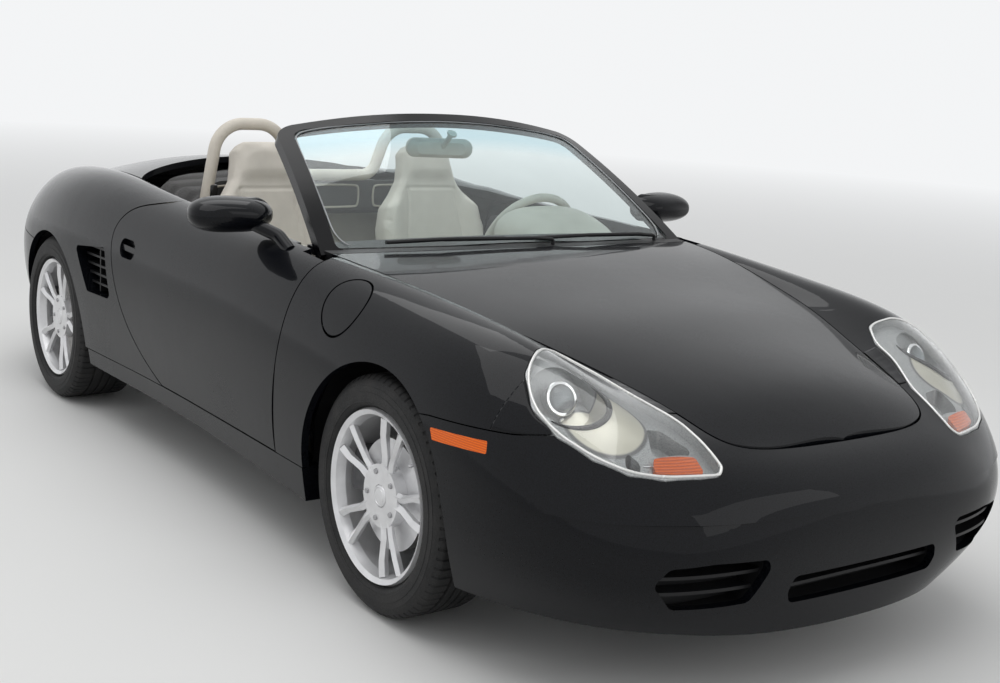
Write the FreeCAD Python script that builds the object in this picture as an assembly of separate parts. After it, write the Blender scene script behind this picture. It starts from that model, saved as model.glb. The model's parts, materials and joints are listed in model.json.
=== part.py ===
import FreeCAD, Part
import math
import os

os.makedirs("parts", exist_ok=True)
Vec = FreeCAD.Vector

# Frame: X forward, Y to the car's left, Z up, origin on the ground under the middle of the car.
# All sizes are millimetres and degrees.

# Overall places
FRONT_AXLE_X = 1232.5
REAR_AXLE_X = -1182.5
AXLE_Z = 318.0
FRONT_TRACK_HALF = 727.5
REAR_TRACK_HALF = 750.0

# Walls and clearances
SHUT_GAP = 5.0
SEAT_GAP = 0.3
SKIN = 22.0
TONGUE_Y = 722.0
PILLAR_FOOT_Y = 700.0
LENS_WALL = 4.0

# Body side: nine rows run from the lid seam down to the lower hem.
ROWS = ("seam", "inner", "crown", "shoulder", "haunch", "waist", "flank", "turn", "hem")
# How far the inner skin goes inwards and down from each row, as shares of the wall.
WALL_IN = (0.05, 0.3, 0.5, 0.8, 1.0, 1.0, 1.0, 1.0, 1.0)
WALL_DOWN = (1.0, 1.0, 0.9, 0.6, 0.3, 0.0, 0.0, 0.0, 0.0)
# Inner face of the doors and cabin walls per row: metres in and down are set by the rows' own sizes.
CABIN_IN = (0, 12, 44, 92, 130, 146, 142, 124, 90)
CABIN_DOWN = (30, 45, 70, 90, 80, 60, 40, 20, 0)

# Plan angles of the stations round the nose and round the tail
NOSE_ANGLES = (0, 14, 30, 47, 64, 79)
TAIL_ANGLES = (79, 64, 47, 30, 14, 0)
# Seam of the front lid, from the nose to the axle: x, y, z
SEAM_NOSE = (
    (2042, 0, 597), (2041, 200, 598), (2022, 368, 602),
    (1885, 396, 662), (1640, 468, 722), (1420, 545, 772),
)
# Rows round the nose: foremost x, half width at the axle, roundness of the plan, heights
NOSE = {
    "inner": (2076, 612, 3.6, (583, 584, 594, 662, 742, 796)),
    "crown": (2114, 662, 3.3, (556, 558, 575, 664, 764, 814)),
    "shoulder": (2146, 750, 3.1, (522, 524, 548, 632, 735, 794)),
    "haunch": (2160, 826, 3.2, (478, 480, 504, 572, 652, 715)),
    "waist": (2168, 866, 3.65, (425, 425, 436, 478, 545, 595)),
    "flank": (2170, 876, 3.65, (350, 350, 352, 370, 410, 445)),
    "turn": (2160, 868, 3.2, (262, 262, 262, 268, 285, 300)),
    "hem": (2140, 838, 2.45, (182, 182, 182, 184, 190, 195)),
}
# Stations between the axles: x, then y and z of every row
MIDDLE = (
    (1232, ((590, 800), (622, 826), (662, 838), (740, 822), (815, 752), (858, 640), (872, 480), (868, 315), (845, 198))),
    (1000, ((640, 838), (662, 850), (694, 852), (758, 832), (820, 768), (860, 655), (872, 490), (866, 325), (842, 200))),
    (740, ((694, 862), (712, 864), (738, 858), (784, 832), (828, 768), (860, 655), (872, 495), (862, 335), (836, 205))),
    (420, ((694, 872), (712, 874), (742, 870), (790, 846), (834, 778), (862, 660), (870, 500), (858, 345), (828, 210))),
    (60, ((694, 876), (712, 878), (744, 874), (794, 850), (838, 780), (864, 660), (870, 500), (855, 350), (822, 212))),
    (-300, ((690, 882), (708, 886), (742, 884), (798, 860), (846, 788), (872, 665), (876, 505), (860, 350), (828, 212))),
    (-600, ((672, 892), (694, 900), (734, 902), (800, 880), (856, 806), (884, 675), (886, 510), (872, 350), (845, 212))),
    (-900, ((640, 898), (668, 910), (716, 916), (794, 896), (864, 820), (896, 685), (896, 520), (884, 355), (862, 215))),
    (-1182, ((606, 890), (640, 902), (696, 908), (782, 890), (862, 816), (898, 685), (900, 530), (890, 365), (870, 220))),
)
# Share of the deep cabin wall at each of those stations
CABIN_SHARE = (0, 0, 1, 1, 1, 1, 1, 0.35, 0)
# Seam of the rear deck, from the axle to the tail: x, y, z
SEAM_TAIL = (
    (-1420, 560, 868), (-1650, 520, 838), (-1880, 485, 802),
    (-2020, 420, 790), (-2050, 210, 790), (-2058, 0, 790),
)
# Rows round the tail, as round the nose
TAIL = {
    "inner": (-2078, 600, 3.4, (876, 838, 790, 770, 768, 768)),
    "crown": (-2092, 660, 3.2, (884, 838, 775, 745, 742, 742)),
    "shoulder": (-2104, 752, 3.0, (864, 815, 745, 710, 705, 705)),
    "haunch": (-2122, 842, 2.8, (792, 740, 680, 650, 645, 645)),
    "waist": (-2158, 892, 2.8, (672, 632, 590, 572, 570, 570)),
    "flank": (-2168, 900, 2.8, (528, 515, 500, 490, 488, 488)),
    "turn": (-2150, 890, 2.7, (378, 385, 390, 392, 392, 392)),
    "hem": (-2085, 868, 2.4, (240, 262, 285, 300, 305, 305)),
}

# Wheel arches: centre x, centre z, radius, inner side
FRONT_ARCH = (1250.0, 318.0, 355.0, 430.0)
REAR_ARCH = (-1182.5, 298.0, 360.0, 560.0)

# Shut lines in side view: x, z
SILL_LINE = ((895, 300), (189, 286), (-800, 272))
DOOR_FRONT = ((725, 297), (731, 560), (746, 700), (762, 940))
DOOR_REAR = ((-142, 281.5), (-330, 388), (-461, 518), (-536, 660), (-548, 748), (-500, 820), (-400, 862), (-300, 884))
BUMPER_SPLIT = ((1380, 590), (1500, 606), (1760, 622), (1872, 640), (1872, 960), (2300, 960), (2300, 60), (1380, 60))
TAIL_SPLIT = ((-1380, 600), (-1560, 606), (-1900, 622), (-2000, 640), (-2000, 900), (-2300, 900), (-2300, 60), (-1380, 60))
TAIL_LAMP = ((-1862, 690), (-1935, 742), (-2010, 768), (-2180, 776), (-2190, 640), (-2006, 632), (-1925, 640))
TAIL_LAMP_Y = 440.0
FLAP_RADIUS = 84.0
SIDE_INTAKE = ((-868, 652), (-610, 682), (-596, 672), (-540, 520), (-560, 506), (-752, 500))
# Headlamp outline in plan: x, y
HEADLAMP = (
    (1610, 560), (1640, 650), (1690, 718), (1760, 745), (1840, 730), (1919, 687), (1980, 630),
    (2021, 560), (2048, 480), (2066, 404), (1990, 405), (1895, 418), (1840, 448), (1775, 482), (1690, 505),
)
LAMP_CORNER = 30.0
# Inside the headlamp: shelf depths below the lens, main reflector, beam and side lamps in plan
LAMP_SHELF = (26.0, 32.0)
REFLECTOR_CENTRE = Vec(1745, 640, 690)
REFLECTOR_AXIS = Vec(1, 0.1, 0.45)
REFLECTOR_RADIUS = 78.0
PROJECTOR_RADIUS = 34.0
BEAM_LAMP = ((1900, 520), (1898, 478), (1976, 424), (1962, 548))
SMALL_LAMP = ((1945, 612), (1972, 594), (1958, 576), (1925, 598))
TURN_LAMP = ((1972, 556), (1996, 452), (2034, 452), (2012, 520), (1992, 566))
MARKER = ((1530, 556), (1514, 583), (1706, 597), (1714, 569))
FLAP_CENTRE = Vec(995, 802, 780)
MIRROR_CENTRE = Vec(355, 840, 932)
MIRROR_FOOT = ((560, 742, 848), (490, 748, 884), (380, 806, 917))

# Front bumper: crease height and step, openings as y and z
CREASE_Z = 476.0
CREASE_STEP = 6.0
CENTRE_INTAKE = ((-252, 264), (-264, 296), (-252, 334), (252, 334), (264, 296), (252, 264))
INTAKE_CORNER = 22.0
DUCT_WALL = 8.0
# Depths behind the nose: the duct's front, the slats' front, the plate's two faces
GRILLE_DEPTHS = (8.0, 36.0, 84.0, 92.0)
CORNER_INTAKE = ((606, 338), (580, 381), (482, 391), (338, 387), (330, 363), (375, 284), (548, 272))

# Door handle, its recess and the plate recess in the tail
HANDLE_CENTRE = (-409.0, 707.0)
HANDLE_SIZE = (126.0, 20.0)
HANDLE_RECESS = (122.0, 66.0)
HANDLE_DEPTH_Y = (844.0, 850.0, 862.0)
PLATE_RECESS = (-2156.0, 270.0, 455.0, 580.0)

# Front lid and rear deck: centre crown above the seam at places along x
HOOD_CROWN = ((520, 10), (740, 9), (1000, 8), (1232, 13), (1420, 22), (1640, 34), (1800, 41), (1900, 40), (1980, 26), (2044, 2), (2075, -30))
HOOD_REAR_SIDE_X = 705.0
HOOD_REAR_MIDDLE_X = 748.0
DECK_CROWN = ((-540, 20), (-700, 30), (-900, 42), (-1100, 55), (-1300, 64), (-1500, 72), (-1700, 74), (-1850, 66), (-1960, 44), (-2050, 6), (-2080, -14))
LID_THICKNESS = 24.0
LID_CORNER_GAP = (9.0, 7.0, 5.0, 3.0, 1.0)
ROOF_COVER_REAR_X = -1500.0
ROOF_RIM_X = -600.0
ROOF_RIM_RADIUS = 694.0

# Windscreen: corner and middle points of the glass
GLASS_BASE = (653, 647, 864)
GLASS_BASE_MIDDLE = (690, 0, 880)
GLASS_TOP = (144, 565, 1162)
GLASS_TOP_MIDDLE = (205, 0, 1208)
GLASS_THICKNESS = 5.0
# Wipers: y of the pivot and of the blade's tip, and how far the pivots stand behind the lid
WIPERS = ((100, -500), (560, 60))
WIPER_BACK = 32.0
FRAME_DEPTH = 34.0

# Wheels: rim, tyre and brake sizes
TYRE_RADIUS = 318.0
RIM_FLANGE_RADIUS = 231.0
BEAD_RADIUS = 218.0
BARREL_INNER_RADIUS = 206.0
# name: x, track half, rim half width, tyre half width
WHEELS = {
    "front": (FRONT_AXLE_X, FRONT_TRACK_HALF, 100.0, 106.0),
    "rear": (REAR_AXLE_X, REAR_TRACK_HALF, 116.0, 129.0),
}
HUB_RADIUS = 84.0
LUG_CIRCLE = 130.0
LUG_RADIUS = 7.5
CENTRE_BORE_RADIUS = 30.0
SPOKE_PAIRS = 5
SPOKE_FIRST_ANGLE = 4.0
SPOKE_SPREAD = 23.0
DISC_RADIUS = 149.0
DISC_THICKNESS = 24.0
STUB_RADIUS = 20.0
RUNNING_FIT = 0.05

# Steering
KINGPIN_LOW = Vec(FRONT_AXLE_X, 660, 195)
KINGPIN_HIGH = Vec(FRONT_AXLE_X, 545, 700)
REAR_SPRING_LOW = (545, 565)
REAR_SPRING_TOP = (505, 690)
STEERING_WHEEL_CENTRE = Vec(238, 358, 802)
STEERING_WHEEL_TILT = 25.0
STEERING_WHEEL_RADIUS = 178.0

# Cabin
SEAT_Y = 350.0
CABIN_FLOOR_Z = 205.0
FLOOR_BOTTOM_Z = 182.0
JACK_PAD_Z = 170.0
JACK_PADS = ((560, 650), (560, -650), (-680, 650), (-680, -650))
ROLL_BAR_X = -556.0
ROLL_BAR_RADIUS = 22.0


def box(x0, x1, y0, y1, z0, z1):
    return Part.makeBox(x1 - x0, y1 - y0, z1 - z0, Vec(x0, y0, z0))


def rod(start, end, radius):
    return Part.makeCylinder(radius, (end - start).Length, start, end - start)


def mirrored(shape):
    return shape.mirror(Vec(0, 0, 0), Vec(0, 1, 0))


def pair(shape):
    return Part.makeCompound([shape, mirrored(shape)])


def joined(shapes):
    whole = shapes[0].multiFuse(shapes[1:])
    return whole.removeSplitter()


# A wire through corners, each rounded by a tangent arc as large as its runs allow
def roundedWire(corners, radius, closed=True):
    count = len(corners)
    radii = radius if isinstance(radius, (list, tuple)) else [radius] * count
    starts = []
    ends = []
    middles = []
    for i, corner in enumerate(corners):
        if not closed and i in (0, count - 1):
            starts.append(corner)
            ends.append(corner)
            middles.append(None)
            continue
        back = corners[i - 1] - corner
        ahead = corners[(i + 1) % count] - corner
        shorter = min(back.Length, ahead.Length)
        back.normalize()
        ahead.normalize()
        half = math.acos(max(-1.0, min(1.0, back.dot(ahead)))) / 2
        run = min(radii[i] / math.tan(half), 0.49 * shorter) if half < 1.56 else 0
        if run < 0.01:
            starts.append(corner)
            ends.append(corner)
            middles.append(None)
            continue
        true_radius = run * math.tan(half)
        towards = back + ahead
        towards.normalize()
        starts.append(corner + back * run)
        ends.append(corner + ahead * run)
        middles.append(corner + towards * (true_radius / math.sin(half) - true_radius))
    edges = []
    for i in range(count):
        if middles[i] is not None:
            edges.append(Part.Arc(starts[i], middles[i], ends[i]).toShape())
        if i < count - 1 or closed:
            after = starts[(i + 1) % count]
            if (after - ends[i]).Length > 0.001:
                edges.append(Part.makeLine(ends[i], after))
    return Part.Wire(edges)


def tube(corners, radius, bend, closed=False):
    path = roundedWire(corners, bend, closed)
    first = path.OrderedEdges[0] if hasattr(path, "OrderedEdges") else path.Edges[0]
    start = first.valueAt(first.FirstParameter)
    direction = first.tangentAt(first.FirstParameter)
    ring = Part.Wire([Part.makeCircle(radius, start, direction)])
    return path.makePipeShell([ring], True, False)


def sidePrism(points, y0, y1, radius=0.0):
    wire = roundedWire([Vec(x, y0, z) for x, z in points], radius)
    return Part.Face(wire).extrude(Vec(0, y1 - y0, 0))


def planPrism(points, z0, z1, radius=0.0):
    wire = roundedWire([Vec(x, y, z0) for x, y in points], radius)
    return Part.Face(wire).extrude(Vec(0, 0, z1 - z0))


def frontPrism(points, x0, x1, radius=0.0):
    wire = roundedWire([Vec(x0, y, z) for y, z in points], radius)
    return Part.Face(wire).extrude(Vec(x1 - x0, 0, 0))


def export(name, shape):
    shape.exportStep("parts/%s.step" % name)
    print(name, len(shape.Solids), "solids", round(shape.Volume / 1e6, 2), "litres", shape.isValid())


# Points of a row round the nose or the tail, on a superellipse in plan
def cornerPoints(row, axle_x, angles, wall, wall_in, wall_down):
    reach, half, power, heights = row
    sign = 1 if reach > axle_x else -1
    points = []
    for angle, height in zip(angles, heights):
        along = math.cos(math.radians(angle)) ** (2 / power)
        across = math.sin(math.radians(angle)) ** (2 / power) if angle else 0.0
        x = axle_x + (reach - sign * wall * wall_in - axle_x) * along
        y = (half - wall * wall_in) * across
        points.append(Vec(x, y, height - wall * wall_down))
    return points


def bodyCage(wall=0.0, cabin=False):
    cage = []
    for r, row in enumerate(ROWS):
        inwards = wall * WALL_IN[r]
        down = wall * WALL_DOWN[r]
        points = []
        if row == "seam":
            points += [Vec(x - inwards, max(y - inwards, 0), z - down) for x, y, z in SEAM_NOSE]
        else:
            points += cornerPoints(NOSE[row], FRONT_AXLE_X, NOSE_ANGLES, wall, WALL_IN[r], WALL_DOWN[r])
        for station, share in zip(MIDDLE, CABIN_SHARE):
            y, z = station[1][r]
            deep = share if cabin else 0.0
            y -= (1 - deep) * inwards + deep * CABIN_IN[r]
            z -= (1 - deep) * down + deep * CABIN_DOWN[r]
            points.append(Vec(station[0], y, z))
        if row == "seam":
            points += [Vec(x + inwards, max(y - inwards, 0), z - down) for x, y, z in SEAM_TAIL]
        else:
            points += cornerPoints(TAIL[row], REAR_AXLE_X, TAIL_ANGLES, wall, WALL_IN[r], WALL_DOWN[r])
        # the two poles next to the centre plane keep the surface smooth across it
        points[1] = Vec(points[0].x, points[1].y, points[0].z)
        points[-2] = Vec(points[-1].x, points[-2].y, points[-1].z)
        cage.append(points)
    return cage


def clampedKnots(count):
    knots = [float(i) for i in range(count - 2)]
    mults = [4] + [1] * (count - 4) + [4]
    return knots, mults


def cubicSurface(cage):
    row_knots, row_mults = clampedKnots(len(cage))
    station_knots, station_mults = clampedKnots(len(cage[0]))
    surface = Part.BSplineSurface()
    surface.buildFromPolesMultsKnots(
        cage, row_mults, station_mults, row_knots, station_knots, False, False, 3, 3)
    return surface


def solidFrom(faces):
    shell = Part.makeShell(faces)
    shell.sewShape()
    solid = Part.makeSolid(Part.Shell(shell.Faces))
    if solid.Volume < 0:
        solid.reverse()
    return solid


# Half of the body side as a wall of the given thickness, from the centre of the nose to the tail's
def bodyWall(wall, cabin=False):
    outer = cubicSurface(bodyCage())
    inner = cubicSurface(bodyCage(wall, cabin))
    faces = [outer.toShape(), inner.toShape()]
    first_row, last_row, first_station, last_station = outer.bounds()
    for value in (first_row, last_row):
        faces.append(Part.makeRuledSurface(outer.uIso(value).toShape(), inner.uIso(value).toShape()))
    for value in (first_station, last_station):
        faces.append(Part.makeRuledSurface(outer.vIso(value).toShape(), inner.vIso(value).toShape()))
    return solidFrom(faces)


# The seam line as a curve, and points on it by their x
SEAM_CURVE = cubicSurface(bodyCage()).uIso(0.0)


def seamParameter(x):
    low = SEAM_CURVE.FirstParameter
    high = SEAM_CURVE.LastParameter
    for _ in range(40):
        middle = (low + high) / 2
        if SEAM_CURVE.value(middle).x > x:
            low = middle
        else:
            high = middle
    return (low + high) / 2


def seamPoint(x):
    return SEAM_CURVE.value(seamParameter(x))


def seamLine(x_from, x_to, gap, count):
    start = seamParameter(x_from)
    stop = seamParameter(x_to)
    points = []
    for i in range(count):
        parameter = start + (stop - start) * i / (count - 1)
        point = SEAM_CURVE.value(parameter)
        tangent = SEAM_CURVE.tangent(parameter)[0]
        outwards = Vec(tangent.y, -tangent.x, 0)
        outwards.normalize()
        if outwards.y < 0:
            outwards = outwards * -1
        points.append(Vec(point.x - outwards.x * gap, point.y - outwards.y * gap, 0))
    return points


def linearTable(table, x):
    rows = sorted(table)
    if x <= rows[0][0]:
        return rows[0][1]
    for (x0, v0), (x1, v1) in zip(rows, rows[1:]):
        if x <= x1:
            return v0 + (v1 - v0) * (x - x0) / (x1 - x0)
    return rows[-1][1]


# A crowned sheet between the two seams: it meets the seam's height and rises to the middle
def crownedSheet(stations, crown, drop, thickness):
    grid = []
    for x in stations:
        seam = seamPoint(max(min(x, SEAM_NOSE[0][0] - 1), SEAM_TAIL[-1][0] + 1))
        half = max(seam.y, 330.0)
        rise = linearTable(crown, x)
        line = []
        for share in (-1.12, -0.85, -0.55, -0.25, 0.0, 0.25, 0.55, 0.85, 1.12):
            line.append(Vec(x, share * half, seam.z - drop + rise * (1 - share ** 2)))
        grid.append(line)
    surface = Part.BSplineSurface()
    surface.interpolate(grid)
    return surface.toShape().extrude(Vec(0, 0, -thickness))


def curveThrough(points):
    curve = Part.BSplineCurve()
    curve.interpolate(points)
    return curve.toShape()


# A face moved inwards, its curves drawn anew through points
def insetFace(face, inset):
    edges = []
    for edge in face.makeOffset2D(-inset).OuterWire.Edges:
        if edge.Curve.TypeId == "Part::GeomLine":
            edges.append(Part.makeLine(edge.Vertexes[0].Point, edge.Vertexes[-1].Point))
        else:
            edges.append(curveThrough(edge.discretize(16)))
    return Part.Face(Part.Wire(Part.__sortEdges__(edges)))


def frameArc(x_side, y_side, x_middle):
    return Part.Arc(Vec(x_side, y_side, 0), Vec(x_middle, 0, 0), Vec(x_side, -y_side, 0)).toShape()


# An upright prism from a left edge, its mirror image and what closes them
def lidPrism(left, closing):
    edges = [left, mirrored(left)] + closing
    face = Part.Face(Part.Wire(Part.__sortEdges__(edges)))
    prism = face.extrude(Vec(0, 0, 1200))
    return prism


def bodySide():
    wall = bodyWall(SKIN)
    deep = bodyWall(SKIN, True)
    arches = []
    for x, z, radius, inside in (FRONT_ARCH, REAR_ARCH):
        arches.append(Part.makeCylinder(radius, 1100 - inside, Vec(x, inside, z), Vec(0, 1, 0)))
    lamp = planPrism(HEADLAMP, 500, 900, LAMP_CORNER)
    wall = wall.cut(arches[0].fuse(lamp))
    deep = deep.cut(arches[1])
    return wall, deep


# An oval recess in the door with the handle bar across it
def doorHandle(door):
    floor_y, bar_inner_y, bar_outer_y = HANDLE_DEPTH_Y
    recess = sidePrism(aroundCentre(HANDLE_CENTRE, HANDLE_RECESS), floor_y, 1100, HANDLE_RECESS[1] / 2 - 1)
    bar = sidePrism(aroundCentre(HANDLE_CENTRE, HANDLE_SIZE), bar_inner_y, bar_outer_y, HANDLE_SIZE[1] / 2 - 1)
    return joined([door.cut(recess), bar])


def aroundCentre(centre, size):
    x, z = centre
    half_x, half_z = size[0] / 2, size[1] / 2
    return ((x - half_x, z - half_z), (x + half_x, z - half_z), (x + half_x, z + half_z), (x - half_x, z + half_z))


def bodyPanels():
    wall, deep = bodySide()
    panels = {}
    front = list(DOOR_FRONT)
    rear = list(reversed(DOOR_REAR))

    # door: thin skin at its front edge, full wall behind the hinges
    edges = [Part.makeLine(Vec(-142, 300, 281.5), Vec(189, 300, 286)), Part.makeLine(Vec(189, 300, 286), Vec(725, 300, 297))]
    edges.append(curveThrough([Vec(x, 300, z) for x, z in front]))
    edges.append(Part.makeLine(Vec(762, 300, 940), Vec(-300, 300, 940)))
    edges.append(Part.makeLine(Vec(-300, 300, 940), Vec(-300, 300, 884)))
    edges.append(curveThrough([Vec(x, 300, z) for x, z in rear]))
    outline = Part.Face(Part.Wire(Part.__sortEdges__(edges)))
    door_tool = outline.extrude(Vec(0, 800, 0))
    door_tool = door_tool.cut(box(640, 800, 0, TONGUE_Y, 780, 1000))
    inset = insetFace(outline, SHUT_GAP)
    door_shape = inset.extrude(Vec(0, 800, 0)).cut(box(630, 800, 0, TONGUE_Y + 17, 780, 1000))
    door_shape = door_shape.cut(box(530, 800, 0, PILLAR_FOOT_Y + 11, 780, 1000))
    deeper = insetFace(outline, SHUT_GAP + 12)
    deep_shape = deeper.extrude(Vec(0, 800, 0)).common(box(-700, 690, 300, 1100, 100, 1000))
    skin_part = wall.common(door_shape)
    deep_part = deep.common(deep_shape.common(door_shape))
    door = doorHandle(joined([skin_part, deep_part]))
    trim_block = sidePrism(((548, 330), (540, 640), (548, 800), (-420, 800), (-470, 640), (-380, 520), (-120, 330)), 652, 790, 40)
    trim = trim_block.cut(deep.fuse(box(-800, 800, 760, 1100, 0, 1000)))
    trim = max(trim.Solids, key=lambda solid: solid.Volume)
    trim.translate(Vec(0, -SEAT_GAP, 0))
    panels["trim"] = trim
    panels["door"] = door

    sill_tool = sidePrism(((892, 60), (892, 300), (189, 286), (-800, 272), (-800, 60)), 300, 1100)
    above_sill = sidePrism(((1700, 1000), (1700, 303), (892, 303), (189, 289), (-800, 275), (-2300, 243), (-2300, 1000)), 300, 1100)
    sill = deep.common(sill_tool)
    panels["sill"] = sill

    bumper_tool = sidePrism(BUMPER_SPLIT, -10, 1100)
    front_bumper = wall.common(bumper_tool)
    below = box(1300, 2300, -10, 1100, 0, CREASE_Z)
    lower = front_bumper.common(below)
    lower.translate(Vec(-CREASE_STEP, 0, 0))
    front_bumper = joined([front_bumper.cut(below), lower])
    panels["front_bumper"] = front_bumper
    fender_area = sidePrism(((600, 1000), (600, 300), (1380, 300), (1380, 593), (1500, 609), (1760, 625), (1869, 643), (1869, 1000)), -10, 1100)
    fender = wall.common(fender_area).cut(door_tool).common(above_sill)
    fender = fender.common(sidePrism(front + [(900, 1000), (1900, 1000), (1900, 200), (725, 200)], 300, 1100))
    panels["fender"] = fender

    tail_tool = sidePrism(TAIL_SPLIT, -10, 1100)
    lamp_tool = sidePrism(TAIL_LAMP, TAIL_LAMP_Y, 1100, 12)
    rear_bumper = deep.common(tail_tool)
    rear_bumper = rear_bumper.cut(box(-2300, -2000, TAIL_LAMP_Y - 4, 1100, 640, 900))
    rear_bumper = rear_bumper.cut(lamp_tool)
    panels["rear_bumper"] = rear_bumper
    quarter_area = sidePrism(((-100, 1000), (-100, 240), (-1380, 240), (-1380, 603), (-1560, 609), (-1900, 625), (-2003, 644), (-2300, 644), (-2300, 1000)), TAIL_LAMP_Y, 1100)
    quarter = deep.common(quarter_area).cut(door_tool).cut(lamp_tool).common(above_sill)
    keep = sidePrism([(-142, 200)] + list(DOOR_REAR) + [(-300, 1000), (-2300, 1000), (-2300, 200)], 0, 1100)
    quarter = quarter.common(keep)
    intake = sidePrism(SIDE_INTAKE, 790, 1100, 14)
    quarter = quarter.cut(intake)
    panels["quarter"] = quarter
    panels["tail_lamp"] = bodyWall(60).common(sidePrism(TAIL_LAMP, TAIL_LAMP_Y, 1100, 12))
    return panels



def lids():
    hood_sheet = crownedSheet((520, 640, 740, 870, 1000, 1232, 1420, 1640, 1800, 1900, 1980, 2030, 2075), HOOD_CROWN, 0.0, LID_THICKNESS)
    deck_sheet = crownedSheet((-540, -700, -900, -1100, -1300, -1500, -1700, -1850, -1960, -2030, -2080), DECK_CROWN, 0.0, LID_THICKNESS)
    front_left = seamLine(SEAM_NOSE[0][0] - 1, HOOD_REAR_SIDE_X, SHUT_GAP, 22)
    front_left[0] = Vec(SEAM_NOSE[0][0] - SHUT_GAP, 0, 0)
    side = front_left[-1]
    rear_arc = frameArc(side.x, side.y, HOOD_REAR_MIDDLE_X)
    hood = hood_sheet.common(lidPrism(curveThrough(front_left), [rear_arc]))

    cowl_left = seamLine(HOOD_REAR_SIDE_X - SHUT_GAP, 560, SHUT_GAP, 5)
    cowl_side = cowl_left[0]
    cowl_front = frameArc(cowl_side.x, cowl_side.y, HOOD_REAR_MIDDLE_X - SHUT_GAP)
    cowl_rear = Part.makeLine(cowl_left[-1], Vec(cowl_left[-1].x, -cowl_left[-1].y, 0))
    cowl = hood_sheet.common(lidPrism(curveThrough(cowl_left), [cowl_front, cowl_rear]))

    rear_left = seamLine(ROOF_COVER_REAR_X - SHUT_GAP, SEAM_TAIL[-1][0] + 1, SHUT_GAP, 14)
    rear_left[-1] = Vec(SEAM_TAIL[-1][0] + SHUT_GAP, 0, 0)
    # its front corners swing rearwards as it opens, so their gap is wider
    for i, extra in enumerate(LID_CORNER_GAP):
        rear_left[i] -= Vec(0, extra, 0)
    first = rear_left[0]
    lid_front = Part.makeLine(first, Vec(first.x, -first.y, 0))
    rear_lid = deck_sheet.common(lidPrism(curveThrough(rear_left), [lid_front]))

    cover_left = seamLine(ROOF_RIM_X + 10, ROOF_COVER_REAR_X, SHUT_GAP, 12)
    ends = [Part.makeLine(p, Vec(p.x, -p.y, 0)) for p in (cover_left[0], cover_left[-1])]
    cover = deck_sheet.common(lidPrism(curveThrough(cover_left), ends))
    rim = Part.makeCylinder(ROOF_RIM_RADIUS, 1200, Vec(ROOF_RIM_X, 0, 0))
    cover = cover.cut(rim)
    cover_parts = [s for s in cover.Solids if s.BoundBox.XLength > 300]
    nose_lip = sidePrism(((2060, 587), (2020, 588), (1990, 592), (1960, 560), (1960, 480), (2060, 480)), -700, 700)
    tail_lip = sidePrism(((-2070, 783), (-2036, 784), (-2000, 776), (-2000, 700), (-2070, 700)), -700, 700)
    return hood.cut(nose_lip), cowl, rear_lid.cut(tail_lip), cover_parts[0], deck_sheet


def screenPoint(across, up, out=0.0):
    bow = 1 - across ** 2
    low = Vec(GLASS_BASE[0] + bow * (GLASS_BASE_MIDDLE[0] - GLASS_BASE[0]), across * GLASS_BASE[1],
              GLASS_BASE[2] + bow * (GLASS_BASE_MIDDLE[2] - GLASS_BASE[2]))
    high = Vec(GLASS_TOP[0] + bow * (GLASS_TOP_MIDDLE[0] - GLASS_TOP[0]), across * GLASS_TOP[1],
               GLASS_TOP[2] + bow * (GLASS_TOP_MIDDLE[2] - GLASS_TOP[2]))
    belly = 14.0 * (1 - (2 * up - 1) ** 2)
    return low + (high - low) * up + SCREEN_NORMAL * (belly + out)


SCREEN_SLOPE = Vec(GLASS_TOP_MIDDLE[0] - GLASS_BASE_MIDDLE[0], 0, GLASS_TOP_MIDDLE[2] - GLASS_BASE_MIDDLE[2])
SCREEN_SLOPE.normalize()
SCREEN_NORMAL = Vec(SCREEN_SLOPE.z, 0, -SCREEN_SLOPE.x)


# A prism across the screen: corners are given as y and the run up the slope from the glass's foot
def screenPrism(corners, radius, bottom_bow=None):
    origin = Vec(GLASS_BASE_MIDDLE[0], 0, GLASS_BASE_MIDDLE[2]) - SCREEN_NORMAL * 200
    points = [origin + Vec(0, y, 0) + SCREEN_SLOPE * run for y, run in corners]
    return Part.Face(roundedWire(points, radius)).extrude(SCREEN_NORMAL * 400)


def screenSheet(out, depth):
    grid = [[screenPoint(a, u, out) for a in (-1.2, -0.8, -0.4, 0.0, 0.4, 0.8, 1.2)] for u in (-0.12, 0.25, 0.6, 1.0, 1.12)]
    surface = Part.BSplineSurface()
    surface.interpolate(grid)
    return surface.toShape().extrude(SCREEN_NORMAL * -depth)


def windscreen():
    outer = screenPrism(((PILLAR_FOOT_Y, 3), (592, 634), (300, 634), (0, 631), (-300, 634), (-592, 634), (-PILLAR_FOOT_Y, 3)), (0, 75, 300, 300, 300, 75, 0))
    edge = ((646, 12), (549, 598), (280, 590), (-280, 590), (-549, 598), (-646, 12), (-300, -6), (300, -6))
    edge_radius = (30, 48, 500, 500, 48, 30, 400, 400)
    inner = screenPrism(edge, edge_radius)
    frame = screenSheet(5.0, FRAME_DEPTH).common(outer).cut(inner)
    frame = frame.cut(screenPrism(((640, -60), (640, -1), (-640, -1), (-640, -60)), 0))
    glass_edge = [(y * (1 - 2 * SEAT_GAP / 1200), run + (SEAT_GAP if run < 100 else -SEAT_GAP)) for y, run in edge]
    glass = screenSheet(0.0, GLASS_THICKNESS).common(screenPrism(glass_edge, edge_radius))
    return frame, glass


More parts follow.
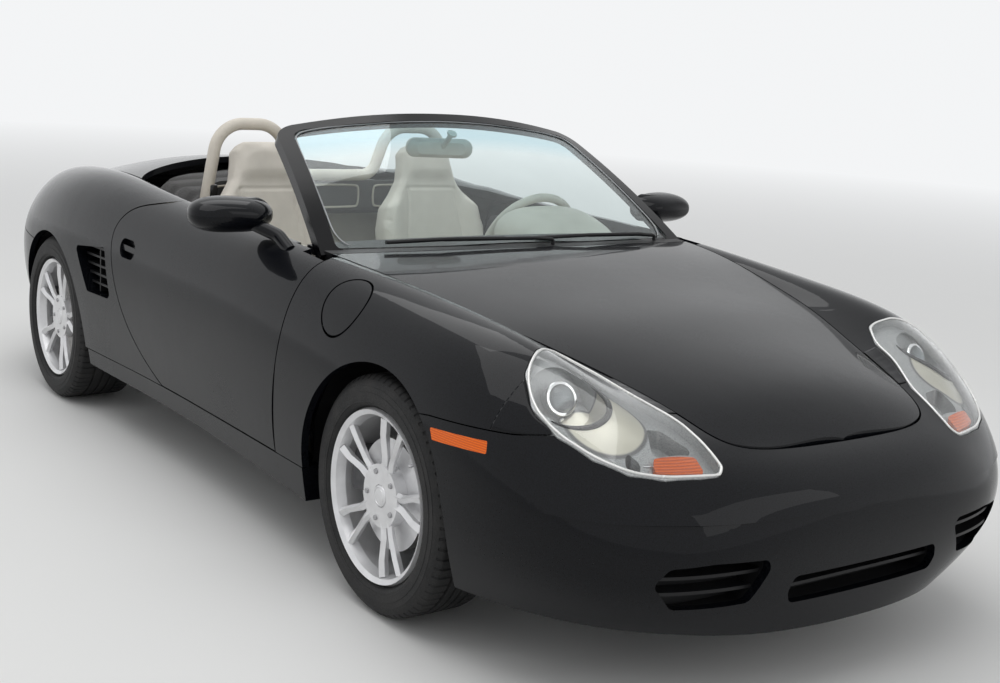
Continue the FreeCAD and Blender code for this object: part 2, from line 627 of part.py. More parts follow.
def wheelParts(x, track, rim_half, tyre_half, bore_end):
    centre = Vec(x, track, AXLE_Z)
    outer = track + rim_half
    inner = track - rim_half
    # rim barrel with its two flanges, turned about the axle: radius, y
    profile = (
        (BARREL_INNER_RADIUS, inner + 6), (RIM_FLANGE_RADIUS - 3, inner), (RIM_FLANGE_RADIUS, inner + 12),
        (BEAD_RADIUS, inner + 14), (BEAD_RADIUS, track - 10), (BEAD_RADIUS, outer - 14),
        (RIM_FLANGE_RADIUS, outer - 12), (RIM_FLANGE_RADIUS - 4, outer), (BARREL_INNER_RADIUS + 8, outer - 8),
        (BARREL_INNER_RADIUS, outer - 34),
    )
    wire = Part.makePolygon([Vec(x, y, AXLE_Z + r) for r, y in profile] + [Vec(x, profile[0][1], AXLE_Z + profile[0][0])])
    barrel = Part.Face(wire).revolve(centre, Vec(0, 1, 0), 360)
    hub_face = outer - 20
    hub = Part.makeCylinder(HUB_RADIUS, 34, Vec(x, hub_face - 34, AXLE_Z), Vec(0, 1, 0))
    spokes = []
    for k in range(SPOKE_PAIRS):
        for side in (-1, 1):
            spoke = spokeBlade(side, hub_face, outer)
            spoke.rotate(Vec(0, 0, 0), Vec(0, 1, 0), -(SPOKE_FIRST_ANGLE + 72.0 * k))
            spoke.translate(Vec(x, 0, AXLE_Z))
            spokes.append(spoke)
    rim = joined([barrel, hub] + spokes)
    cuts = [Part.makeCylinder(CENTRE_BORE_RADIUS, 60, Vec(x, hub_face - 12, AXLE_Z), Vec(0, 1, 0))]
    for k in range(SPOKE_PAIRS):
        angle = math.radians(SPOKE_FIRST_ANGLE + 36 + 72 * k)
        lug = Vec(x + math.cos(angle) * LUG_CIRCLE / 2, hub_face - 60, AXLE_Z + math.sin(angle) * LUG_CIRCLE / 2)
        cuts.append(Part.makeCylinder(LUG_RADIUS, 100, lug, Vec(0, 1, 0)))
    disc = Part.makeCylinder(DISC_RADIUS, DISC_THICKNESS, Vec(x, hub_face - 34 - DISC_THICKNESS, AXLE_Z), Vec(0, 1, 0))
    disc = disc.fuse(Part.makeCylinder(STUB_RADIUS, 60, Vec(x, hub_face - 34 - DISC_THICKNESS - 60, AXLE_Z), Vec(0, 1, 0)))
    rim = rim.cut(Part.makeCompound(cuts[:1]))
    rim = rim.fuse(disc)
    for cut in cuts[1:]:
        rim = rim.cut(cut)
    rim = rim.removeSplitter()
    bead = BEAD_RADIUS + SEAT_GAP
    side_y = rim_half - 14.5
    # half of the tyre's profile: radius, distance from the wheel's middle
    half_profile = (
        (bead, side_y), (RIM_FLANGE_RADIUS + 4, side_y), (RIM_FLANGE_RADIUS + 18, tyre_half - 2),
        (TYRE_RADIUS - 42, tyre_half), (TYRE_RADIUS - 12, tyre_half - 14), (TYRE_RADIUS, tyre_half - 34),
    )
    profile = [(r, track - y) for r, y in half_profile] + [(r, track + y) for r, y in reversed(half_profile)]
    wire = Part.makePolygon([Vec(x, y, AXLE_Z + r) for r, y in profile + profile[:1]])
    tyre = Part.Face(wire).revolve(centre, Vec(0, 1, 0), 360)
    return rim, tyre, hub_face - 34 - DISC_THICKNESS


# One blade of a twin spoke, ridged along its middle: it leaves the hub, leans aside and flares at the rim
def spokeBlade(side, hub_face, outer):
    lean = math.sin(math.radians(SPOKE_SPREAD / 2))
    sections = []
    # radius, distance aside, half width, back, shoulder, ridge
    for radius, aside, half_width, back, shoulder, ridge in (
        (56, 12, 14, hub_face - 18, hub_face - 8, hub_face - 1),
        (110, 16, 11, hub_face - 14, hub_face - 4, hub_face + 5),
        (165, 165 * lean, 10, outer - 32, outer - 18, outer - 8),
        (207, 207 * lean, 13, outer - 30, outer - 16, outer - 7),
    ):
        middle = side * aside
        corners = [
            Vec(radius, back, middle - half_width * 0.7), Vec(radius, back, middle + half_width * 0.7),
            Vec(radius, shoulder, middle + half_width), Vec(radius, ridge, middle + side * half_width * 0.25),
            Vec(radius, shoulder, middle - half_width),
        ]
        sections.append(Part.makePolygon(corners + [corners[0]]))
    return Part.makeLoft(sections, True, True)


def calliper(x, disc_inner):
    inner = disc_inner - 20
    outer = disc_inner + DISC_THICKNESS + 12
    ring = Part.makeCylinder(186, outer - inner, Vec(x, inner, AXLE_Z), Vec(0, 1, 0))
    ring = ring.cut(Part.makeCylinder(98, outer - inner, Vec(x, inner, AXLE_Z), Vec(0, 1, 0)))
    wedge = sidePrism(((x, AXLE_Z), (x - 300, AXLE_Z + 170), (x - 300, AXLE_Z - 60)), inner, outer)
    slot = Part.makeCylinder(DISC_RADIUS + 6, DISC_THICKNESS + 12, Vec(x, disc_inner - 6, AXLE_Z), Vec(0, 1, 0))
    return ring.common(wedge).cut(slot)


def frontKnuckle(disc_inner):
    axis = KINGPIN_HIGH - KINGPIN_LOW
    axis.normalize()
    x = FRONT_AXLE_X
    bearing = Part.makeCylinder(44, 62, Vec(x, disc_inner - 8 - 62, AXLE_Z), Vec(0, 1, 0))
    plate = box(x - 40, x + 40, disc_inner - 88, disc_inner - 58, 215, 450)
    low = rod(KINGPIN_LOW + axis * 8, KINGPIN_LOW + axis * 70, 24)
    strut = rod(KINGPIN_LOW + axis * 215, KINGPIN_HIGH - axis * 150, 27)
    spring = rod(KINGPIN_HIGH - axis * 150, KINGPIN_HIGH - axis * SEAT_GAP, 40)
    arm = box(x - 135, x, disc_inner - 88, disc_inner - 62, 255, 280)
    bridge = box(x - 175, x - 30, disc_inner - 88, disc_inner - 62, AXLE_Z - 20, AXLE_Z + 50)
    pad = box(x - 175, x - 100, disc_inner - 88, disc_inner - 18, AXLE_Z - 10, AXLE_Z + 42)
    bracket = box(x - 30, x + 30, 598, disc_inner - 60, 395, 450)
    body = joined([bearing, plate, bracket, low, strut, spring, arm, bridge, pad, calliper(x, disc_inner)])
    body = body.cut(Part.makeCylinder(STUB_RADIUS + RUNNING_FIT, 70, Vec(x, disc_inner - 62, AXLE_Z), Vec(0, 1, 0)))
    body = body.cut(rod(KINGPIN_LOW - axis * 30, KINGPIN_LOW + axis * 30, 10 + RUNNING_FIT))
    return body, axis


def frontSuspension(axis):
    x = FRONT_AXLE_X
    stud = rod(KINGPIN_LOW - axis * 10, KINGPIN_LOW + axis * 26, 10)
    ball = rod(KINGPIN_LOW - axis * 30, KINGPIN_LOW + axis * (8 - SEAT_GAP), 19)
    arm = planPrism(((x - 14, 664), (x + 14, 664), (x + 150, 300), (x + 110, 290), (x - 4, 560), (x - 150, 290), (x - 190, 300)), 178, 196, 8)
    side = joined([stud, ball, arm])
    cross = box(x - 200, x + 190, -310, 310, 172, 215)
    wings = box(x - 60, x + 60, -426, 426, 204, 250 - SEAT_GAP)
    rack = rod(Vec(x - 135, -300, 236), Vec(x - 135, 300, 236), 26)
    rods = rod(Vec(x - 135, -520, 236), Vec(x - 135, 520, 236), 9)
    return joined([side, mirrored(side), cross, wings, rack, rods])


def rearSuspension(disc_inner):
    x = REAR_AXLE_X
    carrier = joined([
        Part.makeCylinder(52, 62, Vec(x, disc_inner - 70, AXLE_Z), Vec(0, 1, 0)),
        box(x - 46, x + 46, disc_inner - 96, disc_inner - 60, 190, 440),
        box(x - 175, x - 30, disc_inner - 92, disc_inner - 62, AXLE_Z - 20, AXLE_Z + 50),
        box(x - 175, x - 100, disc_inner - 92, disc_inner - 18, AXLE_Z - 10, AXLE_Z + 42),
        calliper(x, disc_inner),
        box(x - 30, x + 30, 640, disc_inner - 60, 400, 440),
        rod(Vec(x, 662, 420), Vec(x, 515, 640), 26),
        rod(Vec(x, *REAR_SPRING_LOW), Vec(x, *REAR_SPRING_TOP), 38),
    ])
    carrier = carrier.cut(Part.makeCylinder(STUB_RADIUS + RUNNING_FIT, 90, Vec(x, disc_inner - 62, AXLE_Z), Vec(0, 1, 0)))
    arm = planPrism(((x - 30, disc_inner - 70), (x + 30, disc_inner - 70), (x + 330, 350), (x + 300, 320), (x, 560), (x - 120, 280), (x - 160, 300)), 196, 216, 8)
    shaft = rod(Vec(x, 145, AXLE_Z), Vec(x, disc_inner - 66, AXLE_Z), 16)
    joint = rod(Vec(x, 140 + SEAT_GAP, AXLE_Z), Vec(x, 230, AXLE_Z), 46)
    lug = box(x + 295, x + 345, 330, 455, 200, 250 - SEAT_GAP)
    side = joined([carrier, arm, shaft, joint, lug])
    cross = box(x - 170, x - 110, -455, 455, 190, 250 - SEAT_GAP)
    return joined([side, mirrored(side), cross])


# Height of the strut's seat in the tower at a given y, square to the kingpin
def towerSeat(y):
    across = KINGPIN_LOW.y - KINGPIN_HIGH.y
    up = KINGPIN_HIGH.z - KINGPIN_LOW.z
    return KINGPIN_HIGH.z + (y - KINGPIN_HIGH.y) * across / up + SEAT_GAP


def rearTowerSeat(y):
    lean = (REAR_SPRING_LOW[0] - REAR_SPRING_TOP[0]) / (REAR_SPRING_TOP[1] - REAR_SPRING_LOW[1])
    return REAR_SPRING_TOP[1] + (y - REAR_SPRING_TOP[0]) * lean + SEAT_GAP


def floorPan():
    tub = planPrism(((880, 560), (880, -560), (620, -712), (-760, -712), (-820, -520), (-820, 520), (-760, 712), (620, 712)), FLOOR_BOTTOM_Z, CABIN_FLOOR_Z, 20)
    tunnel = sidePrism(((-640, CABIN_FLOOR_Z - 5), (-640, 430), (300, 380), (520, 400), (520, CABIN_FLOOR_Z - 5)), -95, 95, 20)
    front_bulkhead = sidePrism(((640, 190), (560, 420), (560, 800), (600, 800), (600, 430), (680, 190)), -690, 690)
    rear_bulkhead = sidePrism(((-640, 190), (-700, 780), (-664, 780), (-604, 190)), -690, 690)
    rear_rail = ((-620, 250), (-620, 350), (-1040, 350), (-1110, 430), (-1255, 430), (-1325, 350), (-1945, 350), (-1945, 250), (-1290, 250), (-1250, 362), (-1115, 362), (-1075, 250))
    rails = [box(600, 2010, 400, 428, 250, 350), sidePrism(rear_rail, 425, 455)]
    tower = [(428, 250), (428, 748), (606, 748), (606, towerSeat(606)), (484, towerSeat(484)), (448, 660), (448, 250)]
    towers = [frontPrism(tower, FRONT_AXLE_X - 70, FRONT_AXLE_X + 70)]
    rear_tower = ((440, 366), (440, 738), (566, 738), (566, rearTowerSeat(566)), (462, rearTowerSeat(462)), (458, 640), (458, 366))
    towers.append(frontPrism(rear_tower, REAR_AXLE_X - 70, REAR_AXLE_X + 70))
    sides = [mirrored(r) for r in rails + towers]
    posts = [box(600, 700, 640, 686, 200, 812)]
    posts += [mirrored(p) for p in posts]
    beams = [box(1980, 2010, -428, 428, 280, 350), box(-1945, -1915, -455, 455, 345, 420)]
    pads = [box(x - 35, x + 35, y - 35, y + 35, JACK_PAD_Z, FLOOR_BOTTOM_Z + 5) for x, y in JACK_PADS]
    floor = joined([tub, tunnel] + pads)
    bulkheads = [joined([front_bulkhead] + posts).cut(floor), rear_bulkhead.cut(floor)]
    frame = joined(rails[:1] + towers[:1] + sides[:1] + sides[2:3] + beams[:1])
    rear_frame = joined(rails[1:] + towers[1:] + sides[1:2] + sides[3:] + beams[1:])
    frames = [frame.cut(bulkheads[0]), rear_frame.cut(bulkheads[1])]
    frames = [max(part.cut(floor).Solids, key=lambda solid: solid.Volume) for part in frames]
    return floor, bulkheads, frames


def openBox(x0, x1, y0, y1, z0, z1, wall):
    return box(x0, x1, y0, y1, z0, z1).cut(box(x0 + wall, x1 - wall, y0 + wall, y1 - wall, z0 + wall, z1 + 10))


def engineBlock():
    motor = sidePrism(((-720, 230), (-720, 620), (-790, 690), (-1080, 690), (-1126, 620), (-1126, 230)), -330, 330, 20)
    gearbox = sidePrism(((-1120, 252), (-1120, 460), (-1620, 400), (-1640, 262)), -140, 140, 20)
    return joined([motor, gearbox])


def exhaustBox():
    silencer = sidePrism(((-1710, 256), (-1710, 392), (-1900, 392), (-1900, 256)), -380, 380, 40)
    outlet = tube([Vec(-1880, 0, 298), Vec(-2000, 0, 298), Vec(-2120, 0, 292)], 42, 60)
    bore = tube([Vec(-1910, 0, 298), Vec(-2000, 0, 298), Vec(-2130, 0, 291)], 38, 60)
    return joined([silencer, outlet]).cut(bore)


# Wheel housings: a side profile swept inwards, with a round hole for the strut
def archLiners(kingpin):
    front = ((1607, 230), (1607, 420), (1510, 600), (1370, 674), (1130, 674), (960, 600), (855, 440), (855, 230))
    rear = ((-823, 230), (-823, 420), (-930, 590), (-1080, 657), (-1285, 657), (-1440, 590), (-1542, 420), (-1542, 230))
    liners = []
    for profile, inside, outer_y in ((front, 490, 800), (rear, 578, 840)):
        wire = roundedWire([Vec(x, inside, z) for x, z in profile], (0, 120, 120, 120, 120, 120, 120, 0))
        face = Part.Face(wire)
        shell = face.makeOffset2D(5).extrude(Vec(0, outer_y - inside, 0)).cut(face.extrude(Vec(0, outer_y - inside, 0)))
        shell = shell.common(box(-3000, 3000, 0, 1000, 232, 900))
        liners.append(shell)
    liners[0] = liners[0].cut(rod(KINGPIN_HIGH - kingpin * 120, KINGPIN_HIGH + kingpin * 30, 48))
    return liners


def dashboard():
    front = 560 - SEAT_GAP
    profile = ((front, 838), (480, 846), (420, 842), (352, 816), (336, 760), (372, 640), (420, 560), (500, 520), (front, 520))
    shelf = sidePrism(profile, -640, 640, (0, 30, 30, 26, 26, 26, 26, 26, 0))
    hood_low = roundedWire([Vec(330, SEAT_Y - 190, 800), Vec(330, SEAT_Y + 190, 800), Vec(560, SEAT_Y + 150, 800), Vec(560, SEAT_Y - 150, 800)], 60)
    hood_high = roundedWire([Vec(350, SEAT_Y - 130, 925), Vec(350, SEAT_Y + 130, 925), Vec(520, SEAT_Y + 90, 880), Vec(520, SEAT_Y - 90, 880)], 50)
    binnacle = Part.makeLoft([hood_low, hood_high], True, True)
    recess = sidePrism(((300, 815), (300, 900), (400, 880), (400, 815)), SEAT_Y - 112, SEAT_Y + 112, 12)
    return joined([shelf, binnacle]).cut(recess)


def console():
    floor = CABIN_FLOOR_Z + 200
    body = sidePrism(((-560, 432), (-560, 520), (-300, 540), (120, 480), (300, 560), (372, 640 - SEAT_GAP), (500, 520 - SEAT_GAP), (520, 402), (300, 382)), -100, 100, 12)
    return body


def seat(y):
    cushion = sidePrism(((-400, 322), (-400, 430), (-60, 425), (110, 462), (120, 380), (60, 322)), y - 245, y + 245, 30)
    lean = Vec(-0.27, 0, 0.963)
    base = Vec(-250, y, 350)
    outline = ((-235, 0), (-250, 300), (-235, 520), (-150, 640), (-118, 770), (118, 770), (150, 640), (235, 520), (250, 300), (235, 0))
    radii = (20, 200, 80, 120, 70, 70, 120, 80, 200, 20)
    wire = roundedWire([base + Vec(0, a, 0) + lean * b for a, b in outline], radii)
    back = Part.Face(wire).extrude(Vec(-0.963, 0, -0.27) * 85)
    return joined([cushion, back])


def seatFrames():
    parts = []
    for y in (SEAT_Y, -SEAT_Y):
        parts.append(box(-380, 60, y - 200, y + 200, CABIN_FLOOR_Z, 322 - SEAT_GAP))
    return parts


def rollBar():
    x = ROLL_BAR_X
    corners = ((528, 640), (520, 850), (474, 1132), (238, 1132), (172, 945), (-172, 945), (-238, 1132), (-474, 1132), (-520, 850), (-528, 640))
    bar = tube([Vec(x, y, z) for y, z in corners], ROLL_BAR_RADIUS, (0, 300, 112, 112, 70, 70, 112, 112, 300, 0))
    return bar


def rearShelf():
    riser = sidePrism(((-700, 780 + SEAT_GAP), (-700, 800), (-664, 800), (-664, 780 + SEAT_GAP)), -520, 520)
    tray = box(-1330, -600, -560, 560, 800, 806)
    return joined([riser, tray])


def foldedRoof(deck_sheet):
    well = Part.makeCylinder(ROOF_RIM_RADIUS - 12, 1200, Vec(ROOF_RIM_X, 0, 0))
    top = deck_sheet.Faces[0]
    for face in deck_sheet.Faces:
        if face.CenterOfMass.z > top.CenterOfMass.z:
            top = face
    body = top.extrude(Vec(0, 0, -200))
    body.translate(Vec(0, 0, -34))
    limit = planPrism(((-604, 555), (-604, -555), (-1320, -555), (-1320, 555)), 806 + SEAT_GAP, 1200, 40)
    return body.common(well).common(limit)


def steeringWheel():
    tilt = math.radians(STEERING_WHEEL_TILT)
    to_driver = Vec(-math.cos(tilt), 0, math.sin(tilt))
    rim = Part.makeTorus(STEERING_WHEEL_RADIUS, 15, STEERING_WHEEL_CENTRE, to_driver)
    up = Vec(math.sin(tilt), 0, math.cos(tilt))
    centre = STEERING_WHEEL_CENTRE - to_driver * 30
    boss = rod(centre - to_driver * 30, centre + to_driver * 26, 62)
    spokes = []
    for angle in (90, 210, 330):
        a = math.radians(angle)
        way = Vec(0, math.cos(a), 0) + up * -math.sin(a)
        spokes.append(rod(centre, STEERING_WHEEL_CENTRE + way * STEERING_WHEEL_RADIUS, 11))
    return joined([rim, boss] + spokes), to_driver


def steeringColumn(to_driver):
    start = STEERING_WHEEL_CENTRE - to_driver * (60 + SEAT_GAP)
    return rod(start, start - to_driver * 160, 32)


# Ellipse-sectioned head of the mirror, flat towards the driver, on a foot at the door's corner
def doorMirror():
    profile = Part.Wire([
        Part.makeLine(Vec(0, -128, 0), Vec(0, 124, 0)),
        Part.Arc(Vec(0, 124, 0), Vec(58, 10, 0), Vec(0, -128, 0)).toShape(),
    ])
    sections = []
    for height, scale_y, scale_x in ((-50, 0.62, 0.6), (-30, 0.9, 0.92), (0, 1.0, 1.0), (30, 0.9, 0.9), (50, 0.6, 0.55)):
        matrix = FreeCAD.Matrix()
        matrix.scale(scale_x, scale_y, 1)
        matrix.move(Vec(0, 0, height))
        sections.append(profile.transformGeometry(matrix))
    head = Part.makeLoft(sections, True, False)
    head.rotate(Vec(0, 0, 0), Vec(0, 0, 1), 8)
    head.translate(MIRROR_CENTRE)
    foot = tube([Vec(x, y, z) for x, y, z in MIRROR_FOOT], 20, 60)
    return joined([head, foot])


def hoodHeight(x, y):
    seam = seamPoint(x)
    return seam.z + linearTable(HOOD_CROWN, x) * (1 - (y / seam.y) ** 2)


def wipers():
    arms = []
    for y, tip in WIPERS:
        x = HOOD_REAR_MIDDLE_X - (HOOD_REAR_MIDDLE_X - HOOD_REAR_SIDE_X) * (y / 600) ** 2 - WIPER_BACK
        foot = hoodHeight(x, y) + SEAT_GAP
        arm = tube([Vec(x, y, foot), Vec(x, y, foot + 16), Vec(x - 10, y - 60, foot + 20), Vec(700, tip + 200, 893)], 6, 8)
        blade = tube([Vec(700, tip + 420, 892), Vec(702, tip + 200, 894), Vec(690, tip, 888)], 6, 400)
        arms.append(joined([arm, blade]))
    return arms


# A slab that follows the nose in plan, between two depths behind it and two heights
def noseSlab(y0, y1, front, rear, z0, z1):
    line = [Vec(noseX(y0 + (y1 - y0) * i / 8), y0 + (y1 - y0) * i / 8, z0) for i in range(9)]
    ahead = [p - Vec(front, 0, 0) for p in line]
    behind = [p - Vec(rear, 0, 0) for p in line]
    sides = [Part.makeLine(ahead[-1], behind[-1]), Part.makeLine(behind[0], ahead[0])]
    face = Part.Face(Part.Wire([curveThrough(ahead), sides[0], curveThrough(behind), sides[1]]))
    return face.extrude(Vec(0, 0, z1 - z0))


# A duct behind an opening of the bumper, closed by a plate that carries the slats
def frontGrille(outline, slats, wall):
    ys = [y for y, z in outline]
    zs = [z for y, z in outline]
    span = (min(ys) - DUCT_WALL, max(ys) + DUCT_WALL)
    heights = (min(zs) - DUCT_WALL, max(zs) + DUCT_WALL)
    wire = roundedWire([Vec(1700, y, z) for y, z in outline], INTAKE_CORNER)
    bore = Part.Face(wire).extrude(Vec(600, 0, 0))
    around = Part.Face(wire).makeOffset2D(DUCT_WALL).extrude(Vec(600, 0, 0))
    front, slat_front, slat_rear, rear = GRILLE_DEPTHS
    duct = noseSlab(*span, front, rear, *heights).common(around).cut(bore)
    parts = [duct, noseSlab(*span, slat_rear, rear, *heights).common(around)]
    for z in slats:
        parts.append(noseSlab(*span, slat_front, rear, z, z + 8).common(around))
    grille = joined(parts).cut(wall)
    return max(grille.Solids, key=lambda solid: solid.Volume)


def frontGrilles(bumper):
    corner = frontGrille(CORNER_INTAKE, (312, 348), bumper)
    centre = frontGrille(CENTRE_INTAKE, (295,), bumper)
    return [centre, corner, mirrored(corner)]


def noseX(y):
    reach, half, power = NOSE["flank"][:3]
    inset = CREASE_STEP + 2
    return FRONT_AXLE_X + (reach - inset - FRONT_AXLE_X) * (1 - (abs(y) / half) ** power) ** (1 / power)


def sideGrille():
    slats = []
    for i in range(5):
        z = 520 + 32 * i
        slats.append(sidePrism(((-840, z + 8), (-560 - 0.3 * (z - 500), z + 14), (-560 - 0.3 * (z - 500), z + 22), (-840, z + 16)), 815, 858))
    plate = sidePrism(SIDE_INTAKE, 790 + SEAT_GAP, 800, 14)
    ribs = joined(slats).common(sidePrism(SIDE_INTAKE, 790, 1100, 14))
    stem = box(-700, -690, 795, 858, 508, 668)
    return joined([plate, ribs, stem])


def innerMirror():
    rings = []
    for depth, half_y, half_z in ((0, 118, 33), (16, 116, 31), (30, 84, 20)):
        corners = [Vec(depth, -half_y, -half_z), Vec(depth, half_y, -half_z), Vec(depth, half_y, half_z), Vec(depth, -half_y, half_z)]
        rings.append(roundedWire(corners, half_z - 1))
    head = Part.makeLoft(rings, True, True)
    head.rotate(Vec(0, 0, 0), Vec(0, 0, 1), -14)
    head.translate(Vec(176, 0, 1118))
    foot = screenPoint(0, 0.9, -GLASS_THICKNESS)
    pad = rod(foot + SCREEN_NORMAL * 3, foot - SCREEN_NORMAL * 7, 17)
    stem = rod(Vec(198, 0, 1120), foot - SCREEN_NORMAL * 3, 9)
    return joined([head, stem, pad]).cut(screenSheet(0.0, GLASS_THICKNESS + SEAT_GAP))


# The lamp's bowl with its shelf, the reflectors below the shelf, the turn lamp on it and the lens
def headlamps():
    shelf_top, shelf_low = LAMP_SHELF
    cavity = planOffset(HEADLAMP, LAMP_CORNER, 8.0)
    bowl = bodyWall(110).common(planOffset(HEADLAMP, LAMP_CORNER, 2.5)).cut(bodyWall(96).common(cavity))
    under_shelf = bodyWall(shelf_low)
    shelf = under_shelf.common(planOffset(HEADLAMP, LAMP_CORNER, 6.0)).cut(bodyWall(shelf_top))
    axis = Vec(REFLECTOR_AXIS)
    axis.normalize()
    back = REFLECTOR_CENTRE - axis * 46
    holes = [rod(back, back + axis * 240, REFLECTOR_RADIUS)]
    holes += [planPrism(area, 500, 900, 14) for area in (BEAM_LAMP, SMALL_LAMP)]
    for hole in holes:
        shelf = shelf.cut(hole)
    bowl = joined([bowl, shelf])

    room = bodyWall(96 - SEAT_GAP).common(planOffset(HEADLAMP, LAMP_CORNER, 8.0 + SEAT_GAP))
    room = room.cut(bodyWall(shelf_low + SEAT_GAP))
    cup = rod(back - axis * 6, back + axis * 240, REFLECTOR_RADIUS + 5).cut(holes[0])
    barrel = rod(back - axis, back + axis * 34, PROJECTOR_RADIUS)
    pots = [joined([cup.common(room), barrel.common(room)])]
    for area in (BEAM_LAMP, SMALL_LAMP):
        outside = planOffset(area, 14, -4).common(room)
        inside = planPrism(area, 500, 900, 14).common(bodyWall(66))
        pots.append(outside.cut(inside))
    pots = [max(pot.Solids, key=lambda solid: solid.Volume) for pot in pots]
    pots[1] = pots[1].cut(pots[0])
    pots[2] = pots[2].cut(pots[0]).cut(pots[1])
    reflectors = joined(pots)

    turn = bodyWall(shelf_top - SEAT_GAP).common(planPrism(TURN_LAMP, 500, 900, 8)).cut(bodyWall(12))
    lens = bodyWall(LENS_WALL).common(planOffset(HEADLAMP, LAMP_CORNER, 8.0 + SEAT_GAP))
    return bowl, reflectors, turn, lens


def planOffset(points, radius, inset):
    wire = roundedWire([Vec(x, y, 500) for x, y in points], radius)
    return Part.Face(wire).makeOffset2D(-inset).extrude(Vec(0, 0, 400))


def fuelFlap(wall):
    out = Vec(0, 0.64, 0.77)
    hole = rod(FLAP_CENTRE - out * 90, FLAP_CENTRE + out * 90, FLAP_RADIUS + SHUT_GAP + 1)
    plug = rod(FLAP_CENTRE - out * 90, FLAP_CENTRE + out * 90, FLAP_RADIUS)
    return hole, wall.common(plug)


print("body sides")
PANELS = bodyPanels()
hood, cowl, rear_lid, roof_cover, deck_sheet = lids()
flap_hole, flap = fuelFlap(bodyWall(LENS_WALL))
lens_marker = sidePrism(MARKER, 700, 1100, 4)
marker = bodyWall(14).common(lens_marker)

front_bumper = PANELS["front_bumper"].cut(lens_marker)
for outline in (CENTRE_INTAKE, CORNER_INTAKE):
    front_bumper = front_bumper.cut(frontPrism(outline, 1700, 2300, INTAKE_CORNER))
fender = PANELS["fender"].cut(lens_marker)
whole_front_bumper = joined([front_bumper, mirrored(front_bumper)])
export("front_bumper", whole_front_bumper)
export("fender_left", fender)
export("fender_right", mirrored(fender.cut(flap_hole)))
export("fuel_flap", mirrored(flap))
export("side_markers", pair(marker))
rear_bumper = PANELS["rear_bumper"]
rear_bumper = rear_bumper.cut(box(-2300, -2000, -1, 150, 0, 352))
recess_x, recess_y, recess_low, recess_high = PLATE_RECESS
rear_bumper = rear_bumper.cut(box(-2300, recess_x, -1, recess_y, recess_low, recess_high))
export("rear_bumper", joined([rear_bumper, mirrored(rear_bumper)]))
export("quarter_left", PANELS["quarter"])
export("quarter_right", mirrored(PANELS["quarter"]))
export("tail_lamps", pair(PANELS["tail_lamp"]))
export("sills", pair(PANELS["sill"]))
mirror_head = doorMirror()
for side, place in (("left", lambda shape: shape), ("right", mirrored)):
    export("door_" + side, place(PANELS["door"]))
    export("door_trim_" + side, place(PANELS["trim"]))
    export("door_mirror_" + side, place(mirror_head.cut(PANELS["door"])))
export("front_lid", hood)
export("cowl", cowl)
export("rear_lid", rear_lid)
export("roof_cover", roof_cover)
export("front_grilles", Part.makeCompound(frontGrilles(whole_front_bumper)))
export("side_grilles", pair(sideGrille()))

frame, glass = windscreen()
for neighbour in (cowl, fender, mirrored(fender)):
    frame = frame.cut(neighbour)
frame = max(frame.Solids, key=lambda solid: solid.Volume)
glass = max(glass.cut(cowl).Solids, key=lambda solid: solid.Volume)
export("windscreen_frame", frame)
export("windscreen_glass", glass)
export("wipers", Part.makeCompound(wipers()))
export("inner_mirror", innerMirror())
bowl, reflectors, turn_lamp, lens = headlamps()
export("headlamp_bowls", pair(bowl))
export("headlamp_reflectors", pair(reflectors))
export("turn_lamps", pair(turn_lamp))
export("headlamp_lenses", pair(lens))

for end, (x, track, rim_half, tyre_half) in WHEELS.items():
    rim, tyre, disc_inner = wheelParts(x, track, rim_half, tyre_half, 0)
    for side, place in (("left", lambda shape: shape), ("right", mirrored)):
        export("wheel_%s_%s" % (end, side), place(rim))
        export("tyre_%s_%s" % (end, side), place(tyre))
    if end == "front":
        knuckle, kingpin = frontKnuckle(disc_inner)
        export("knuckle_left", knuckle)
        export("knuckle_right", mirrored(knuckle))
        export("front_suspension", frontSuspension(kingpin))
    else:
        export("rear_suspension", rearSuspension(disc_inner))

floor, bulkheads, frames = floorPan()
export("floor_pan", floor)
export("bulkheads", Part.makeCompound(bulkheads))
export("chassis_rails", Part.makeCompound(frames))
above_tub = sidePrism(((1000, 800), (1000, 715), (1420, 700), (1640, 640), (1910, 560), (1910, 800)), -500, 500)
export("front_tub", openBox(1060, 1900, -385, 385, 275, 740, 6).cut(above_tub))
export("rear_tub", openBox(-1960, -1560, -380, 380, 470, 760, 6))
export("engine", engineBlock())
export("exhaust", exhaustBox())
liners = archLiners(kingpin)
for i, skins in enumerate(((front_bumper, fender, PANELS["sill"]), (rear_bumper, PANELS["quarter"], PANELS["sill"]))):
    for skin in skins:
        liners[i] = liners[i].cut(skin)
    liners[i] = max(liners[i].Solids, key=lambda solid: solid.Volume)
export("arch_liners", Part.makeCompound([pair(liner) for liner in liners]))
export("dashboard", dashboard())
export("console", console().cut(dashboard()))
export("seat_left", seat(SEAT_Y))
export("seat_right", mirrored(seat(SEAT_Y)))
export("seat_frames", Part.makeCompound(seatFrames()))
export("roll_bar", rollBar())
export("rear_shelf", rearShelf())
export("folded_roof", foldedRoof(deck_sheet))
steering_wheel, to_driver = steeringWheel()
export("steering_wheel", steering_wheel)
export("steering_column", steeringColumn(to_driver).cut(dashboard()))
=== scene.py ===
import json
import math
import bmesh
import bpy
from mathutils import Euler, Matrix, Vector
from mathutils.bvhtree import BVHTree


